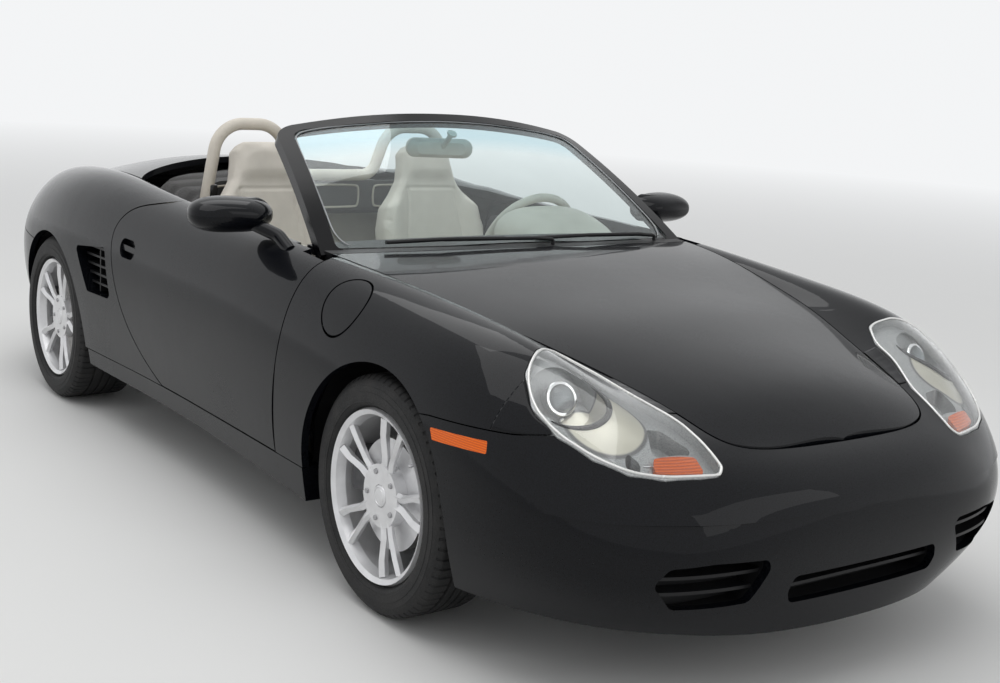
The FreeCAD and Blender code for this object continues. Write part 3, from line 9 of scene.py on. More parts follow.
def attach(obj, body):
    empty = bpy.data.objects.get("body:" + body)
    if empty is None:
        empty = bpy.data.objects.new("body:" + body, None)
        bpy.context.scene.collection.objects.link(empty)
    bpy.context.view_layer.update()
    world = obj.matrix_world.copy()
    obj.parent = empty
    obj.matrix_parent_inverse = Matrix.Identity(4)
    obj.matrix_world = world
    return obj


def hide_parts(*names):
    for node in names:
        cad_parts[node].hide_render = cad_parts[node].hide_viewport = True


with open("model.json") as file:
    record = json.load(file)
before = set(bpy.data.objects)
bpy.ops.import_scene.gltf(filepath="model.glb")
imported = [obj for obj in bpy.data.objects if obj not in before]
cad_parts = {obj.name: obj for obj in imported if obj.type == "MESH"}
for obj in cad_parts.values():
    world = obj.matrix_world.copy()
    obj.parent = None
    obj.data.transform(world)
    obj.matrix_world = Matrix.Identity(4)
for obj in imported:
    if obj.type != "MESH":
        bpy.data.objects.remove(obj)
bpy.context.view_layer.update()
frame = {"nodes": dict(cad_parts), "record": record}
scene = bpy.context.scene
nodes = frame["nodes"]
sides = ((1, "left"), (-1, "right"))
squareCorners = ((-1, -1), (1, -1), (1, 1), (-1, 1))


class Value:  # a socket whose sums and products add their own Math nodes
    def __init__(self, tree, socket):
        self.tree = tree
        self.socket = socket

    def math(self, operation, *others):
        node = self.tree.nodes.new("ShaderNodeMath")
        node.operation = operation
        for plug, item in zip(node.inputs, (self,) + others):
            feed(self.tree, plug, item)
        return Value(self.tree, node.outputs[0])

    def __add__(self, other):
        return self.math("ADD", other)

    def __sub__(self, other):
        return self.math("SUBTRACT", other)

    def __rsub__(self, other):
        return self.math("MULTIPLY", -1.0) + other

    def __mul__(self, other):
        return self.math("MULTIPLY", other)

    __radd__ = __add__
    __rmul__ = __mul__


def feed(tree, plug, item):
    if isinstance(item, Value):
        tree.links.new(item.socket, plug)
    elif isinstance(item, (tuple, list)) and len(item) == 3 and plug.type == "RGBA":
        plug.default_value = (*item, 1.0)
    else:
        plug.default_value = item


def shade(colour, share):
    return tuple(c * share for c in colour)


class Finish:  # one material, with its shader and the few ways its nodes are made
    def __init__(self, name, **settings):
        self.material = bpy.data.materials.new(name)
        self.material.use_nodes = True
        self.tree = self.material.node_tree
        self.shader = self.tree.nodes["Principled BSDF"]
        self.object = self.node("ShaderNodeTexCoord", out="Object")
        for key, item in settings.items():
            self.set(key.replace("_", " ").title().replace("Ior", "IOR"), item)

    def node(self, kind, settings=None, sockets=None, out=0):
        node = self.tree.nodes.new(kind)
        for key, item in (settings or {}).items():
            setattr(node, key, item)
        for key, item in (sockets or {}).items():
            feed(self.tree, node.inputs[key], item)
        return Value(self.tree, node.outputs[out])

    def set(self, name, item):
        feed(self.tree, self.shader.inputs[name], item)

    def axis(self, name):  # one coordinate of the surface point, in metres
        return self.node("ShaderNodeSeparateXYZ", None, {"Vector": self.object}, name)

    def noise(self, scale, detail=2.0):
        return self.node("ShaderNodeTexNoise", None, {"Vector": self.object, "Scale": scale, "Detail": detail})

    def cells(self, scale, feature="F1"):
        sockets = {"Vector": self.object, "Scale": scale}
        return self.node("ShaderNodeTexVoronoi", {"feature": feature}, sockets, "Distance")

    def wave(self, way, scale):
        return self.node("ShaderNodeTexWave", {"bands_direction": way}, {"Vector": self.object, "Scale": scale})

    def between(self, value, low, high, toLow=0.0, toHigh=1.0):
        sockets = {"Value": value, "From Min": low, "From Max": high, "To Min": toLow, "To Max": toHigh}
        return self.node("ShaderNodeMapRange", {"clamp": True}, sockets)

    def past(self, value, limit, soft=0.0005):  # 1 beyond the limit, 0 before it
        return self.between(value, limit - soft, limit + soft)

    def before(self, value, limit, soft=0.0005):
        return self.between(value, limit - soft, limit + soft, 1.0, 0.0)

    def middling(self, value):  # the middle of a noise, spread over 0 to 1
        return self.between(value, 0.3, 0.7)

    def blend(self, factor, first, second):
        node = self.tree.nodes.new("ShaderNodeMix")
        node.data_type = "RGBA"
        for plug, item in ((node.inputs["Factor"], factor), (node.inputs[6], first), (node.inputs[7], second)):
            feed(self.tree, plug, item)
        return Value(self.tree, node.outputs[2])

    def paint(self, factor, first, second):
        self.set("Base Color", self.blend(factor, first, second))

    def rough(self, value, low, high):
        self.set("Roughness", self.between(value, 0.3, 0.7, low, high))

    def bump(self, height, distance, strength=1.0):
        sockets = {"Height": height, "Distance": distance, "Strength": strength}
        self.set("Normal", self.node("ShaderNodeBump", None, sockets))


def glossPaint():
    finish = Finish("blackPaint", metallic=0.0, coat_weight=0.75, coat_roughness=0.02, coat_ior=1.32,
                    specular_ior_level=0.03)
    flake = finish.between(finish.cells(420.0), 0.1, 0.75)
    finish.paint(flake, (0.0060, 0.0068, 0.0095), (0.0012, 0.0014, 0.0022))
    finish.rough(finish.noise(2.2, 3.0), 0.34, 0.44)
    return finish.material


def satinPlastic(name, colour, roughness, grain, depth, gloss=0.5):
    finish = Finish(name, specular_ior_level=gloss)
    wear = finish.noise(6.0, 4.0)
    finish.paint(finish.between(wear, 0.35, 0.65), colour, shade(colour, 0.82))
    finish.rough(wear, roughness - 0.06, roughness + 0.06)
    finish.bump(finish.cells(grain), depth, 0.5)
    return finish.material


def leather(name, colour):
    finish = Finish(name, sheen_weight=0.08)
    tone = finish.noise(9.0, 4.0)
    crease = finish.between(finish.cells(420.0, "DISTANCE_TO_EDGE"), 0.0, 0.25)
    finish.paint(finish.middling(tone), colour, shade(colour, 0.86))
    finish.rough(tone, 0.44, 0.56)
    finish.bump(crease + finish.noise(30.0) * 0.6, 0.0006, 0.5)
    return finish.material


def wool(finish):  # pile and its patches, with the share of the lighter colour
    pile, patch = finish.noise(900.0), finish.noise(14.0, 3.0)
    return pile, patch, finish.between(pile + patch * 0.4, 0.45, 0.9)


def carpet(name, colour):
    finish = Finish(name, sheen_weight=0.3)
    pile, patch, light = wool(finish)
    finish.paint(light, shade(colour, 0.6), colour)
    finish.rough(patch, 0.9, 1.0)
    finish.bump(pile, 0.003)
    return finish.material


def roofCloth():
    finish = Finish("roofCloth", sheen_weight=0.2)
    weave = finish.wave("X", 160.0) * finish.wave("Y", 160.0)
    dust = finish.noise(5.0, 4.0)
    finish.paint(finish.between(dust, 0.35, 0.7), (0.030, 0.029, 0.029), (0.052, 0.050, 0.048))
    finish.rough(dust, 0.82, 0.95)
    finish.bump(weave + dust * 0.5, 0.0012, 0.6)
    return finish.material


def metal(name, colour, roughness, spread=0.06, metallic=1.0, coat=0.0, grain=40.0):
    finish = Finish(name, metallic=metallic, coat_weight=coat, coat_roughness=0.08)
    cloud = finish.noise(grain, 4.0)
    finish.paint(finish.middling(cloud), colour, shade(colour, 0.88))
    finish.rough(cloud, roughness - spread, roughness + spread)
    finish.bump(cloud, 0.0003, 0.3)
    return finish.material


def tyreRubber():
    finish = Finish("tyreRubber")
    fine = finish.noise(260.0)
    dust = finish.between(finish.noise(22.0, 5.0), 0.4, 0.75)
    finish.paint(dust, (0.0055, 0.0056, 0.0060), (0.016, 0.015, 0.0145))
    finish.rough(fine, 0.62, 0.8)
    finish.bump(fine, 0.0008, 0.5)
    return finish.material


def clearGlass(name, colour, band=None):  # band: a deeper tint along the top of the windscreen
    finish = Finish(name, transmission_weight=1.0, ior=1.45, specular_tint=(1.0, 1.0, 1.0, 1.0))
    smear = finish.noise(7.0, 4.0)
    tint = finish.blend(finish.middling(smear), colour, shade(colour, 0.97))
    if band:
        y = finish.axis("Y")
        height = finish.axis("Z") + y * y * 0.14  # the top edge is lower at its sides
        tint = finish.blend(finish.between(height, 1.125, 1.165), tint, band)
    finish.set("Base Color", tint)
    finish.set("Roughness", finish.between(smear, 0.4, 0.8, 0.0, 0.02))
    return finish.material


def lampPlastic(name, colour, deep):
    finish = Finish(name, coat_weight=0.3, coat_roughness=0.03, roughness=0.25, ior=1.5, specular_ior_level=0.2)
    ridge = finish.wave("Z", 60.0)
    finish.paint(ridge, colour, deep)
    finish.bump(ridge, 0.0015, 0.4)
    return finish.material


wheel = {
    # distance forward, track, half width of the rim and of the tyre
    "places": {"front": (1.2325, 0.7275, 0.100, 0.106), "rear": (-1.1825, 0.750, 0.116, 0.129)},
    "axleHeight": 0.318,
    "discRadius": 0.1492,
    "discFace": {"front": 0.7735, "rear": 0.814},  # distance from the car's middle
    "pairs": 5,
    "firstAngle": 4.0,
    "lugCircle": 0.065,
    "valveCircle": 0.205,
}


def wheelFinish():  # painted rim, and the turned steel of the brake disc behind it
    finish = Finish("wheelSilver", coat_weight=0.5, coat_roughness=0.06)
    x, z = finish.axis("X"), finish.axis("Z") - wheel["axleHeight"]
    fromFront, fromRear = ((x - wheel["places"][end][0]).math("ABSOLUTE") for end in ("front", "rear"))
    along = fromFront.math("MINIMUM", fromRear)
    radius = (along * along + z * z).math("SQRT")
    face = finish.between(x, 0.0, 0.001, wheel["discFace"]["rear"], wheel["discFace"]["front"])
    deep = finish.between(face - finish.axis("Y").math("ABSOLUTE"), 0.0, 0.0005)
    onDisc = deep * finish.between(radius, wheel["discRadius"], wheel["discRadius"] + 0.0004, 1.0, 0.0)
    rings = (radius * 3400.0).math("SINE")
    dust = finish.noise(24.0, 4.0)
    silver = finish.blend(finish.middling(dust), (0.80, 0.80, 0.81), (0.70, 0.70, 0.71))
    steel = finish.blend(finish.middling(dust), (0.36, 0.35, 0.34), (0.28, 0.27, 0.26))
    finish.paint(onDisc, silver, steel)
    finish.set("Metallic", onDisc * 0.45 + 0.45)
    finish.set("Roughness", finish.between(dust, 0.3, 0.7, 0.28, 0.36) + onDisc * 0.06)
    finish.bump(rings * onDisc * 0.3 + dust * 0.4, 0.0004, 0.4)
    return finish.material


scoop = {
    "centre": (1.838, 0.602),
    "way": (0.82, 0.57),
    "narrow": (90.0, 175.0),  # one over the square of its half length and half width
}


def lampShell():  # pebbled silver tray with a smooth champagne scoop before the round lamp, and a dark grey ring of painted shade along the scoop's edge
    finish = Finish("lampSilver", coat_weight=0.15, coat_roughness=0.1)
    x, y = finish.axis("X") - scoop["centre"][0], finish.axis("Y").math("ABSOLUTE") - scoop["centre"][1]
    ahead, over = scoop["way"]
    along, aside = x * ahead - y * over, x * over + y * ahead
    away = (along * along * scoop["narrow"][0] + aside * aside * scoop["narrow"][1]).math("SQRT")
    inside = finish.before(away, 1.0, 0.03)
    # rim: the dark grey ring along the scoop's edge, painted shade of the gap at its rim
    rim = finish.before((away - 1.0).math("ABSOLUTE"), 0.04, 0.02)
    pebbles, cloud = finish.cells(300.0), finish.noise(14.0)
    tray = finish.blend(pebbles, (0.50, 0.51, 0.50), (0.27, 0.28, 0.29))
    gold = finish.blend(cloud, (0.66, 0.64, 0.55), (0.50, 0.48, 0.40))
    finish.paint(rim, finish.blend(inside, tray, gold), (0.16, 0.16, 0.16))
    finish.set("Metallic", inside * 0.2 + 0.5)
    finish.rough(cloud, 0.34, 0.42)
    finish.bump(pebbles * (1.0 - inside), 0.0012, 0.5)
    return finish.material


looks = {
    "body_paint": glossPaint(),
    "black_trim": satinPlastic("blackTrim", (0.007, 0.007, 0.008), 0.40, 700.0, 0.0004, 0.3),
    "screen_glass": clearGlass("screenGlass", (0.84, 0.935, 0.93), (0.62, 0.82, 0.87)),
    "lamp_lens": clearGlass("lampLens", (0.97, 0.98, 0.98)),
    "amber_lens": lampPlastic("amberLens", (0.92, 0.165, 0.0), (0.66, 0.09, 0.0)),
    "red_lens": lampPlastic("redLens", (0.30, 0.004, 0.004), (0.14, 0.002, 0.002)),
    "wheel_silver": wheelFinish(),
    "lamp_silver": lampShell(),
    "tyre_rubber": tyreRubber(),
    "chassis_steel": metal("chassisSteel", (0.10, 0.10, 0.105), 0.55, 0.1, 0.6),
    "cast_alloy": metal("castAlloy", (0.42, 0.42, 0.43), 0.5, 0.1),
    "exhaust_steel": metal("exhaustSteel", (0.62, 0.60, 0.58), 0.3),
    "pale_leather": leather("paleLeather", (0.72, 0.675, 0.60)),
    "pale_trim": satinPlastic("paleTrim", (0.68, 0.63, 0.55), 0.5, 600.0, 0.0004),
    "dark_trim": satinPlastic("darkTrim", (0.05, 0.05, 0.052), 0.55, 600.0, 0.0005),
    "roof_cloth": roofCloth(),
}
chrome = metal("brightChrome", (0.80, 0.80, 0.80), 0.10, 0.03, grain=80.0)
boltSteel = metal("boltSteel", (0.45, 0.45, 0.46), 0.34, grain=90.0)
mirrorGlass = metal("mirrorGlass", (0.86, 0.88, 0.90), 0.03, 0.02, grain=12.0)
blackGloss = satinPlastic("blackGloss", (0.012, 0.012, 0.013), 0.16, 900.0, 0.0001)
darkCarpet = carpet("darkCarpet", (0.035, 0.035, 0.036))
dialFace = satinPlastic("dialFace", (0.010, 0.010, 0.011), 0.5, 500.0, 0.0002)
dialMark = satinPlastic("dialMark", (0.75, 0.75, 0.72), 0.5, 500.0, 0.0001)
needleRed = satinPlastic("needleRed", (0.62, 0.03, 0.02), 0.4, 500.0, 0.0001)


def dress(name, look):
    data = nodes[name].data
    data.materials.clear()
    data.materials.append(looks[look] if isinstance(look, str) else look)


for part in frame["record"]["subparts"]:
    if part["node"] in nodes:
        dress(part["node"], part["material_slot"])
print("finishes are on")


def newObject(name, data):
    item = bpy.data.objects.new(name, data)
    scene.collection.objects.link(item)
    return item


def smoothOver(mesh):
    for polygon in mesh.polygons:
        polygon.use_smooth = True


def roundOff(piece, levels):
    rounder = piece.modifiers.new("round", "SUBSURF")
    rounder.levels = rounder.render_levels = levels


def newMesh(name, bm):
    mesh = bpy.data.meshes.new(name)
    bm.to_mesh(mesh)
    bm.free()
    return mesh


def addPiece(name, bm, look, body, slot=None, stands=(), smooth=40.0, levels=0):
    mesh = newMesh(name, bm)
    named = isinstance(look, str)
    mesh.materials.append(looks[look] if named else look)
    piece = newObject(name, mesh)
    smoothOver(mesh)
    mesh.set_sharp_from_angle(angle=math.radians(smooth))
    if levels:
        roundOff(piece, levels)
    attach(piece, body)
    if stands:
        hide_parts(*stands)
    if slot or named:
        slot or look
    return piece


def thicken(piece, thickness, offset=-1.0):
    wall = piece.modifiers.new("thick", "SOLIDIFY")
    wall.thickness = thickness
    wall.offset = offset


def smoothStep(value, low, high):
    share = min(max((value - low) / (high - low), 0.0), 1.0)
    return share * share * (3.0 - 2.0 * share)


def mirrored(point, side):
    return Vector((point[0], side * point[1], point[2]))


def both(build, *before):  # builds a piece on the left, then on the right
    for side, word in sides:
        build(*before, side, word)


def outward(bm):
    bmesh.ops.recalc_face_normals(bm, faces=bm.faces)


def evenly(start, end, steps):  # steps + 1 places from start to end
    return [start + (end - start) * k / steps for k in range(steps + 1)]


def flip(bm, side):  # mirrors a left-hand form for the right side
    if side < 0:
        bmesh.ops.scale(bm, verts=bm.verts, vec=(1, -1, 1))
        bmesh.ops.reverse_faces(bm, faces=bm.faces)


def skin(bm, rows, closed=False):  # faces between neighbouring rows of vertices
    for near, far in zip(rows, rows[1:]):
        for corners in zip(near, near[1:] + near[:closed], far[1:] + far[:closed], far):
            bm.faces.new(corners)


def squarish(angle, square):  # a point on a unit circle that is drawn towards a square
    a, b = math.cos(angle), math.sin(angle)
    scale = (abs(a) ** square + abs(b) ** square) ** (-1 / square)
    return a * scale, b * scale


def finder(*names):  # casts rays onto the named CAD nodes, downwards unless told otherwise
    trees = [BVHTree.FromObject(nodes[name], bpy.context.evaluated_depsgraph_get()) for name in names]

    def cast(start, way=(0, 0, -1)):
        found = [hit for hit in (tree.ray_cast(Vector(start), Vector(way)) for tree in trees) if hit[0] is not None]
        return min(found, key=lambda hit: hit[3])[0] if found else None
    return cast


def cutOutline(bm, corners, rounding=0.0, segments=4):  # one face; only an empty form takes a rounding
    face = bm.faces.new([bm.verts.new(c) for c in corners])
    if not rounding:
        return [face]
    bmesh.ops.bevel(bm, geom=face.verts[:], offset=rounding, offset_type="OFFSET", affect="VERTICES",
                    segments=segments, profile=0.5, material=-1)
    return bm.faces[:]


def drawOut(bm, faces, depth, edge=0.0, segments=3):  # draws the faces along depth and rounds the rims
    drawn = bmesh.ops.extrude_face_region(bm, geom=faces, use_keep_orig=True)
    moved = [item for item in drawn["geom"] if isinstance(item, bmesh.types.BMVert)]
    bmesh.ops.translate(bm, verts=moved, vec=depth)
    outward(bm)
    if edge:
        rims = [e for e in bm.edges if len(e.link_faces) == 2 and e.calc_face_angle(0.0) > 0.9]
        bmesh.ops.bevel(bm, geom=rims, offset=edge, offset_type="OFFSET", affect="EDGES", segments=segments,
                        profile=0.5, material=-1, clamp_overlap=True)


def slab(name, corners, rounding, depth, edge, look, body, steps=(3, 2), **more):  # a rounded plate
    bm = bmesh.new()
    drawOut(bm, cutOutline(bm, corners, rounding, steps[0]), depth, edge, steps[1])
    return addPiece(name, bm, look, body, **more)


def spinProfile(bm, profile, steps, closed=True):  # profile: radius from the axle, place along it
    verts = [bm.verts.new((0, y, r)) for r, y in profile]
    edges = [bm.edges.new(pair) for pair in zip(verts, verts[1:] + verts[:closed])]
    bmesh.ops.spin(bm, geom=verts + edges, cent=(0, 0, 0), axis=(0, 1, 0), angle=math.tau, steps=steps, use_merge=True)
    bmesh.ops.remove_doubles(bm, verts=bm.verts, dist=1e-5)
    outward(bm)


def turned(bm, profile, steps, place, way):  # a profile of (radius, height) turned about a line
    spun = bmesh.new()
    spinProfile(spun, profile, steps, False)
    spun.transform(Vector(way).to_track_quat("Y", "Z").to_matrix().to_4x4())
    spun.transform(Matrix.Translation(place))
    mesh = newMesh("turned", spun)
    bm.from_mesh(mesh)
    bpy.data.meshes.remove(mesh)


def turnedPiece(name, profile, steps, place, way, look, body, **more):
    bm = bmesh.new()
    turned(bm, profile, steps, place, way)
    return addPiece(name, bm, look, body, **more)


def rail(name, points, radius, look, body, slot=None, closed=False, swell=None):  # a round rail through points
    curve = bpy.data.curves.new(name, "CURVE")
    curve.dimensions = "3D"
    curve.bevel_depth = radius
    curve.bevel_resolution = 3
    curve.use_fill_caps = True
    line = curve.splines.new("NURBS")
    line.points.add(len(points) - 1)
    for point, place, share in zip(line.points, points, swell or [1.0] * len(points)):
        point.co = (*place, 1.0)
        point.radius = share
    line.order_u = 3
    line.use_endpoint_u = not closed
    line.use_cyclic_u = closed
    line.resolution_u = 6
    route = bpy.data.objects.new(name, curve)
    mesh = bpy.data.meshes.new_from_object(route)
    bpy.data.objects.remove(route)
    bpy.data.curves.remove(curve)
    bm = bmesh.new()
    bm.from_mesh(mesh)
    bpy.data.meshes.remove(mesh)
    return addPiece(name, bm, look, body, slot)


tyre = {
    # radius, and distance inside the rim's half width or the tyre's
    "bead": ((0.2195, 0.0145), (0.2345, 0.0145)),
    "wall": ((0.2385, 0.010), (0.247, 0.0035), (0.2475, 0.0012), (0.2535, 0.0006), (0.254, 0.0), (0.272, 0.0),
             (0.2725, 0.0012), (0.288, 0.002), (0.2885, 0.0032), (0.297, 0.0065), (0.3045, 0.0125),
             (0.3105, 0.0185), (0.3155, 0.0245)),
    "tread": 0.318,
    "shoulder": 0.030,
    "crown": 0.0012,  # the tread's edge is this much lower than its middle
    "steps": 216,
    "grooves": (0.16, 0.52),  # as shares of the half tread
    "groove": ((0.5, 0.0), (0.36, 1.0), (-0.36, 1.0), (-0.5, 0.0)),  # shares of its width and depth
    "grooveWidth": 0.0085,
    "grooveDepth": 0.007,
    "sipeInset": 0.0028,
    "sipeDepth": 0.0035,
    "blocks": (0.004, 0.0015, 0.0115),  # how far below the tread's radius its faces and the shoulder's lie
}


def buildTyre(end, side, word):
    x, track, rimHalf, half = wheel["places"][end]
    flat = half - tyre["shoulder"]
    right = [(r, rimHalf - inset) for r, inset in tyre["bead"]] + [(r, half - inset) for r, inset in tyre["wall"]]
    right.append((tyre["tread"] - tyre["crown"], flat))
    for share in reversed(tyre["grooves"]):
        for offset, depth in tyre["groove"]:
            y = flat * share + offset * tyre["grooveWidth"]
            right.append((tyre["tread"] - depth * tyre["grooveDepth"] - tyre["crown"] * (y / flat) ** 2, y))
    bm = bmesh.new()
    spinProfile(bm, [(r, -y) for r, y in right] + [(r, y) for r, y in reversed(right)], tyre["steps"])
    cuts = []
    onTop, shoulderTop, shoulderFoot = (tyre["tread"] - drop for drop in tyre["blocks"])
    for face in bm.faces:
        middle = face.calc_center_median()
        radius = math.hypot(middle.x, middle.z)
        step = round(math.degrees(math.atan2(middle.x, middle.z)) % 360 * tyre["steps"] / 360 - 0.5)
        across = abs(middle.y)
        onTread = radius > onTop and across > flat * tyre["grooves"][1]
        onShoulder = shoulderFoot < radius <= shoulderTop and across > flat
        if (onTread or onShoulder) and step % 3 == (0 if middle.y > 0 else 1):
            cuts.append(face)
    inset = bmesh.ops.inset_region(bm, faces=cuts, thickness=tyre["sipeInset"], use_boundary=True,
                                   use_even_offset=True)
    for face in inset["faces"]:
        face.smooth = True
    for vert in {v for face in cuts for v in face.verts}:
        vert.co -= Vector((vert.co.x, 0, vert.co.z)).normalized() * tyre["sipeDepth"]
    bmesh.ops.translate(bm, verts=bm.verts, vec=(x, side * track, wheel["axleHeight"]))
    node = "%s_%s" % (end, word)
    addPiece("tyreTread_" + node, bm, "tyre_rubber", "wheel_" + node, stands=["tyre_" + node], smooth=35.0)


for end in ("front", "rear"):
    both(buildTyre, end)
print("tyres are built")

seat = {
    "across": 0.350,
    "voxel": 0.0075,
    "pressure": 3.0,
    "frames": 20,
    "cap": 0.012,
    "base": (-0.252, 0.0, 0.350),  # foot of the backrest, on the seat's own middle line
    "lean": (-0.27, 0.0, 0.963),
    "front": (0.963, 0.0, 0.27),
    "thick": 0.076,
    # half width of the backrest at places up it
    "outline": ((0.035, 0.218), (0.14, 0.238), (0.30, 0.243), (0.43, 0.238), (0.515, 0.216), (0.575, 0.166),
                (0.625, 0.133), (0.68, 0.121), (0.735, 0.108), (0.762, 0.078)),
    "plan": ((-0.385, -0.215), (0.04, -0.236), (0.104, -0.19), (0.104, 0.19), (0.04, 0.236), (-0.385, 0.215)),
    "cushion": (0.330, 0.092),  # height of its underside, thickness
    "wing": 0.026,
    "bolster": 0.030,
    "rib": 0.0046,
    "ribs": (-0.075, -0.045, -0.015, 0.015, 0.045, 0.075),
    "seam": 0.0055,
}


def padFrom(name, bm, push):  # a closed form puffed up by cloth pressure, then shaped by push
    pad = newObject(name, newMesh(name, bm))
    grain = pad.modifiers.new("grain", "REMESH")
    grain.mode = "VOXEL"
    grain.voxel_size = seat["voxel"] * 1.0
    pad.data = bpy.data.meshes.new_from_object(pad.evaluated_get(bpy.context.evaluated_depsgraph_get()))
    pad.modifiers.clear()
    for vert in pad.data.vertices:
        vert.co = push(vert.co.copy(), 0)
    start = [v.co.copy() for v in pad.data.vertices]
    cloth = pad.modifiers.new("cloth", "CLOTH")
    cloth.settings.use_pressure = True
    cloth.settings.uniform_pressure_force = seat["pressure"]
    cloth.settings.tension_stiffness = cloth.settings.compression_stiffness = 25.0
    cloth.settings.bending_stiffness = 1.5
    cloth.settings.effector_weights.gravity = 0.0
    cloth.point_cache.frame_start, cloth.point_cache.frame_end = 1, seat["frames"]
    for step in range(seat["frames"]):
        scene.frame_set(step + 1)
    puffed = pad.evaluated_get(bpy.context.evaluated_depsgraph_get()).to_mesh()
    for vert, soft, rest in zip(pad.data.vertices, puffed.vertices, start):
        move = soft.co - rest
        if move.length > seat["cap"]:
            move = move.normalized() * seat["cap"]
        vert.co = rest + move
    pad.modifiers.clear()
    scene.frame_set(1)
    for vert in pad.data.vertices:
        vert.co = push(vert.co.copy(), 1)
    return pad


def seatAxes():
    return (Vector(seat[key]) for key in ("base", "lean", "front"))


def dent(distance, width=0.0045):
    return math.exp(-(distance / width) ** 2)


def ribs(y):
    return sum(seat["rib"] * dent(y - line, 0.0042) for line in seat["ribs"])


def backPush(point, stage):  # stage 0 gives the wings and headrest, stage 1 the seams and ribs
    base, lean, front = seatAxes()
    up, out = (point - base).dot(lean), (point - base).dot(front)
    aside = abs(point.y)
    facing = smoothStep(out, -0.045, -0.012)
    if stage == 0:
        wing = smoothStep(aside, 0.115, 0.185) * smoothStep(up, 0.06, 0.2) * (1.0 - smoothStep(up, 0.50, 0.60))
        head = (1.0 - smoothStep(aside, 0.06, 0.13)) * smoothStep(up, 0.60, 0.66)
        lumbar = 0.010 * dent(up - 0.2, 0.1) * (1.0 - smoothStep(aside, 0.05, 0.16))
        return point + front * facing * (seat["wing"] * wing + 0.016 * head + lumbar)
    depth = 0.0
    border = 0.128 - 0.02 * smoothStep(up, 0.35, 0.55)
    if 0.06 < up < 0.585:
        depth += seat["seam"] * dent(aside - border)
    if aside < border:
        depth += seat["seam"] * (dent(up - 0.585) + dent(up - 0.335))
        if up < 0.335:
            depth += ribs(point.y)
    return point - front * depth * facing


def cushionPush(point, stage):
    aside = abs(point.y)
    upper = smoothStep(point.z, 0.375, 0.40)
    if stage == 0:
        rise = 0.030 * smoothStep(point.x, -0.06, 0.10)
        bolster = seat["bolster"] * smoothStep(aside, 0.135, 0.19) * (1.0 - smoothStep(point.x, 0.02, 0.11))
        droop = -0.012 * smoothStep(aside, 0.2, 0.245)
        return point + Vector((0, 0, upper * (rise + bolster + droop)))
    depth = 0.0
    if point.x < 0.075:
        depth += seat["seam"] * dent(aside - 0.138)
    if aside < 0.138:
        depth += seat["seam"] * (dent(point.x - 0.075) + dent(point.x + 0.10))
        if point.x < -0.10:
            depth += ribs(point.y)
    return point - Vector((0, 0, depth * upper))


def placeSeat(pad, node, side, stands):
    copy = pad.copy()
    copy.data = pad.data.copy()
    copy.name = copy.data.name = pad.name.replace("Form", "") + node.title().replace("_", "")
    scene.collection.objects.link(copy)
    copy.data.transform(Matrix.Diagonal((1.0, side, 1.0, 1.0)))
    copy.data.transform(Matrix.Translation((0.0, side * seat["across"], 0.0)))
    if side < 0:
        copy.data.flip_normals()
    copy.data.materials.clear()
    copy.data.materials.append(looks["pale_leather"])
    smoothOver(copy.data)
    roundOff(copy, 1)
    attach(copy, "shell")
    if stands:
        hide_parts(node)


def buildSeats():
    base, lean, front = seatAxes()
    right = [base + lean * up + Vector((0, half, 0)) for up, half in seat["outline"]]
    left = [mirrored(p, -1) for p in reversed(right)]
    bm = bmesh.new()
    drawOut(bm, cutOutline(bm, right + left), front * -seat["thick"], 0.016)
    back = padFrom("seatBackForm", bm, backPush)
    low, thick = seat["cushion"]
    bm = bmesh.new()
    drawOut(bm, cutOutline(bm, [(x, y, low) for x, y in seat["plan"]]), (0, 0, thick), 0.020)
    cushion = padFrom("seatCushionForm", bm, cushionPush)
    for side, word in sides:
        placeSeat(back, "seat_" + word, side, True)
        placeSeat(cushion, "seat_" + word, side, False)
    for form in (back, cushion):
        bpy.data.objects.remove(form)


buildSeats()
print("seats are padded")

fitting = {
    "faceIn": 0.020,  # the hub's face lies this far inside the rim's outer side
    "cap": ((0.0, 0.0045), (0.012, 0.0045), (0.0195, 0.0035), (0.0205, 0.0018), (0.0225, 0.0018), (0.0235, 0.0034),
            (0.0270, 0.0026), (0.0290, 0.0), (0.0290, -0.010), (0.0, -0.010)),
    "bolt": ((0.0, 0.0042), (0.0042, 0.0042), (0.0050, 0.0050), (0.0066, 0.0046), (0.0070, 0.0), (0.0070, -0.020),
             (0.0, -0.020)),
    "valve": ((0.0, 0.034), (0.0030, 0.034), (0.0036, 0.032), (0.0036, 0.022), (0.0046, 0.021), (0.0046, 0.0),
              (0.0, 0.0)),
    "valveIn": 0.040,
    "valveLean": 0.45,
}


def buildFittings(end, side, word):
    x, track, rimHalf, _ = wheel["places"][end]
    node = "wheel_%s_%s" % (end, word)

    def spot(angle, radius, inwards):
        return (x + math.cos(angle) * radius, side * (track + rimHalf - inwards),
                wheel["axleHeight"] + math.sin(angle) * radius)

    middle = spot(0.0, 0.0, fitting["faceIn"])
    turnedPiece("hubCap_" + node, fitting["cap"], 48, middle, (0, side, 0), "wheel_silver", node)
    bm = bmesh.new()
    first = wheel["firstAngle"] + 180 / wheel["pairs"]
    for k in range(wheel["pairs"]):
        angle = math.radians(first + 360 / wheel["pairs"] * k)
        turned(bm, fitting["bolt"], 18, spot(angle, wheel["lugCircle"], fitting["faceIn"]), (0, side, 0))
    angle = math.radians(first)
    way = (-fitting["valveLean"] * math.cos(angle), side, -fitting["valveLean"] * math.sin(angle))
    turned(bm, fitting["valve"], 14, spot(angle, wheel["valveCircle"], fitting["valveIn"]), way)
    addPiece("wheelBolts_" + node, bm, boltSteel, node, "wheel_silver")


for end in ("front", "rear"):
    both(buildFittings, end)
print("hub caps and bolts are in")

mirror = {
    "door": ((0.355, 0.840, 0.932), 8.0, (0.108, 0.038)),  # centre, turn, half size
    "inner": ((0.1755, 0.0, 1.118), -14.0, (0.113, 0.029)),
    "thick": 0.0022,
    "corner": 0.93,
}


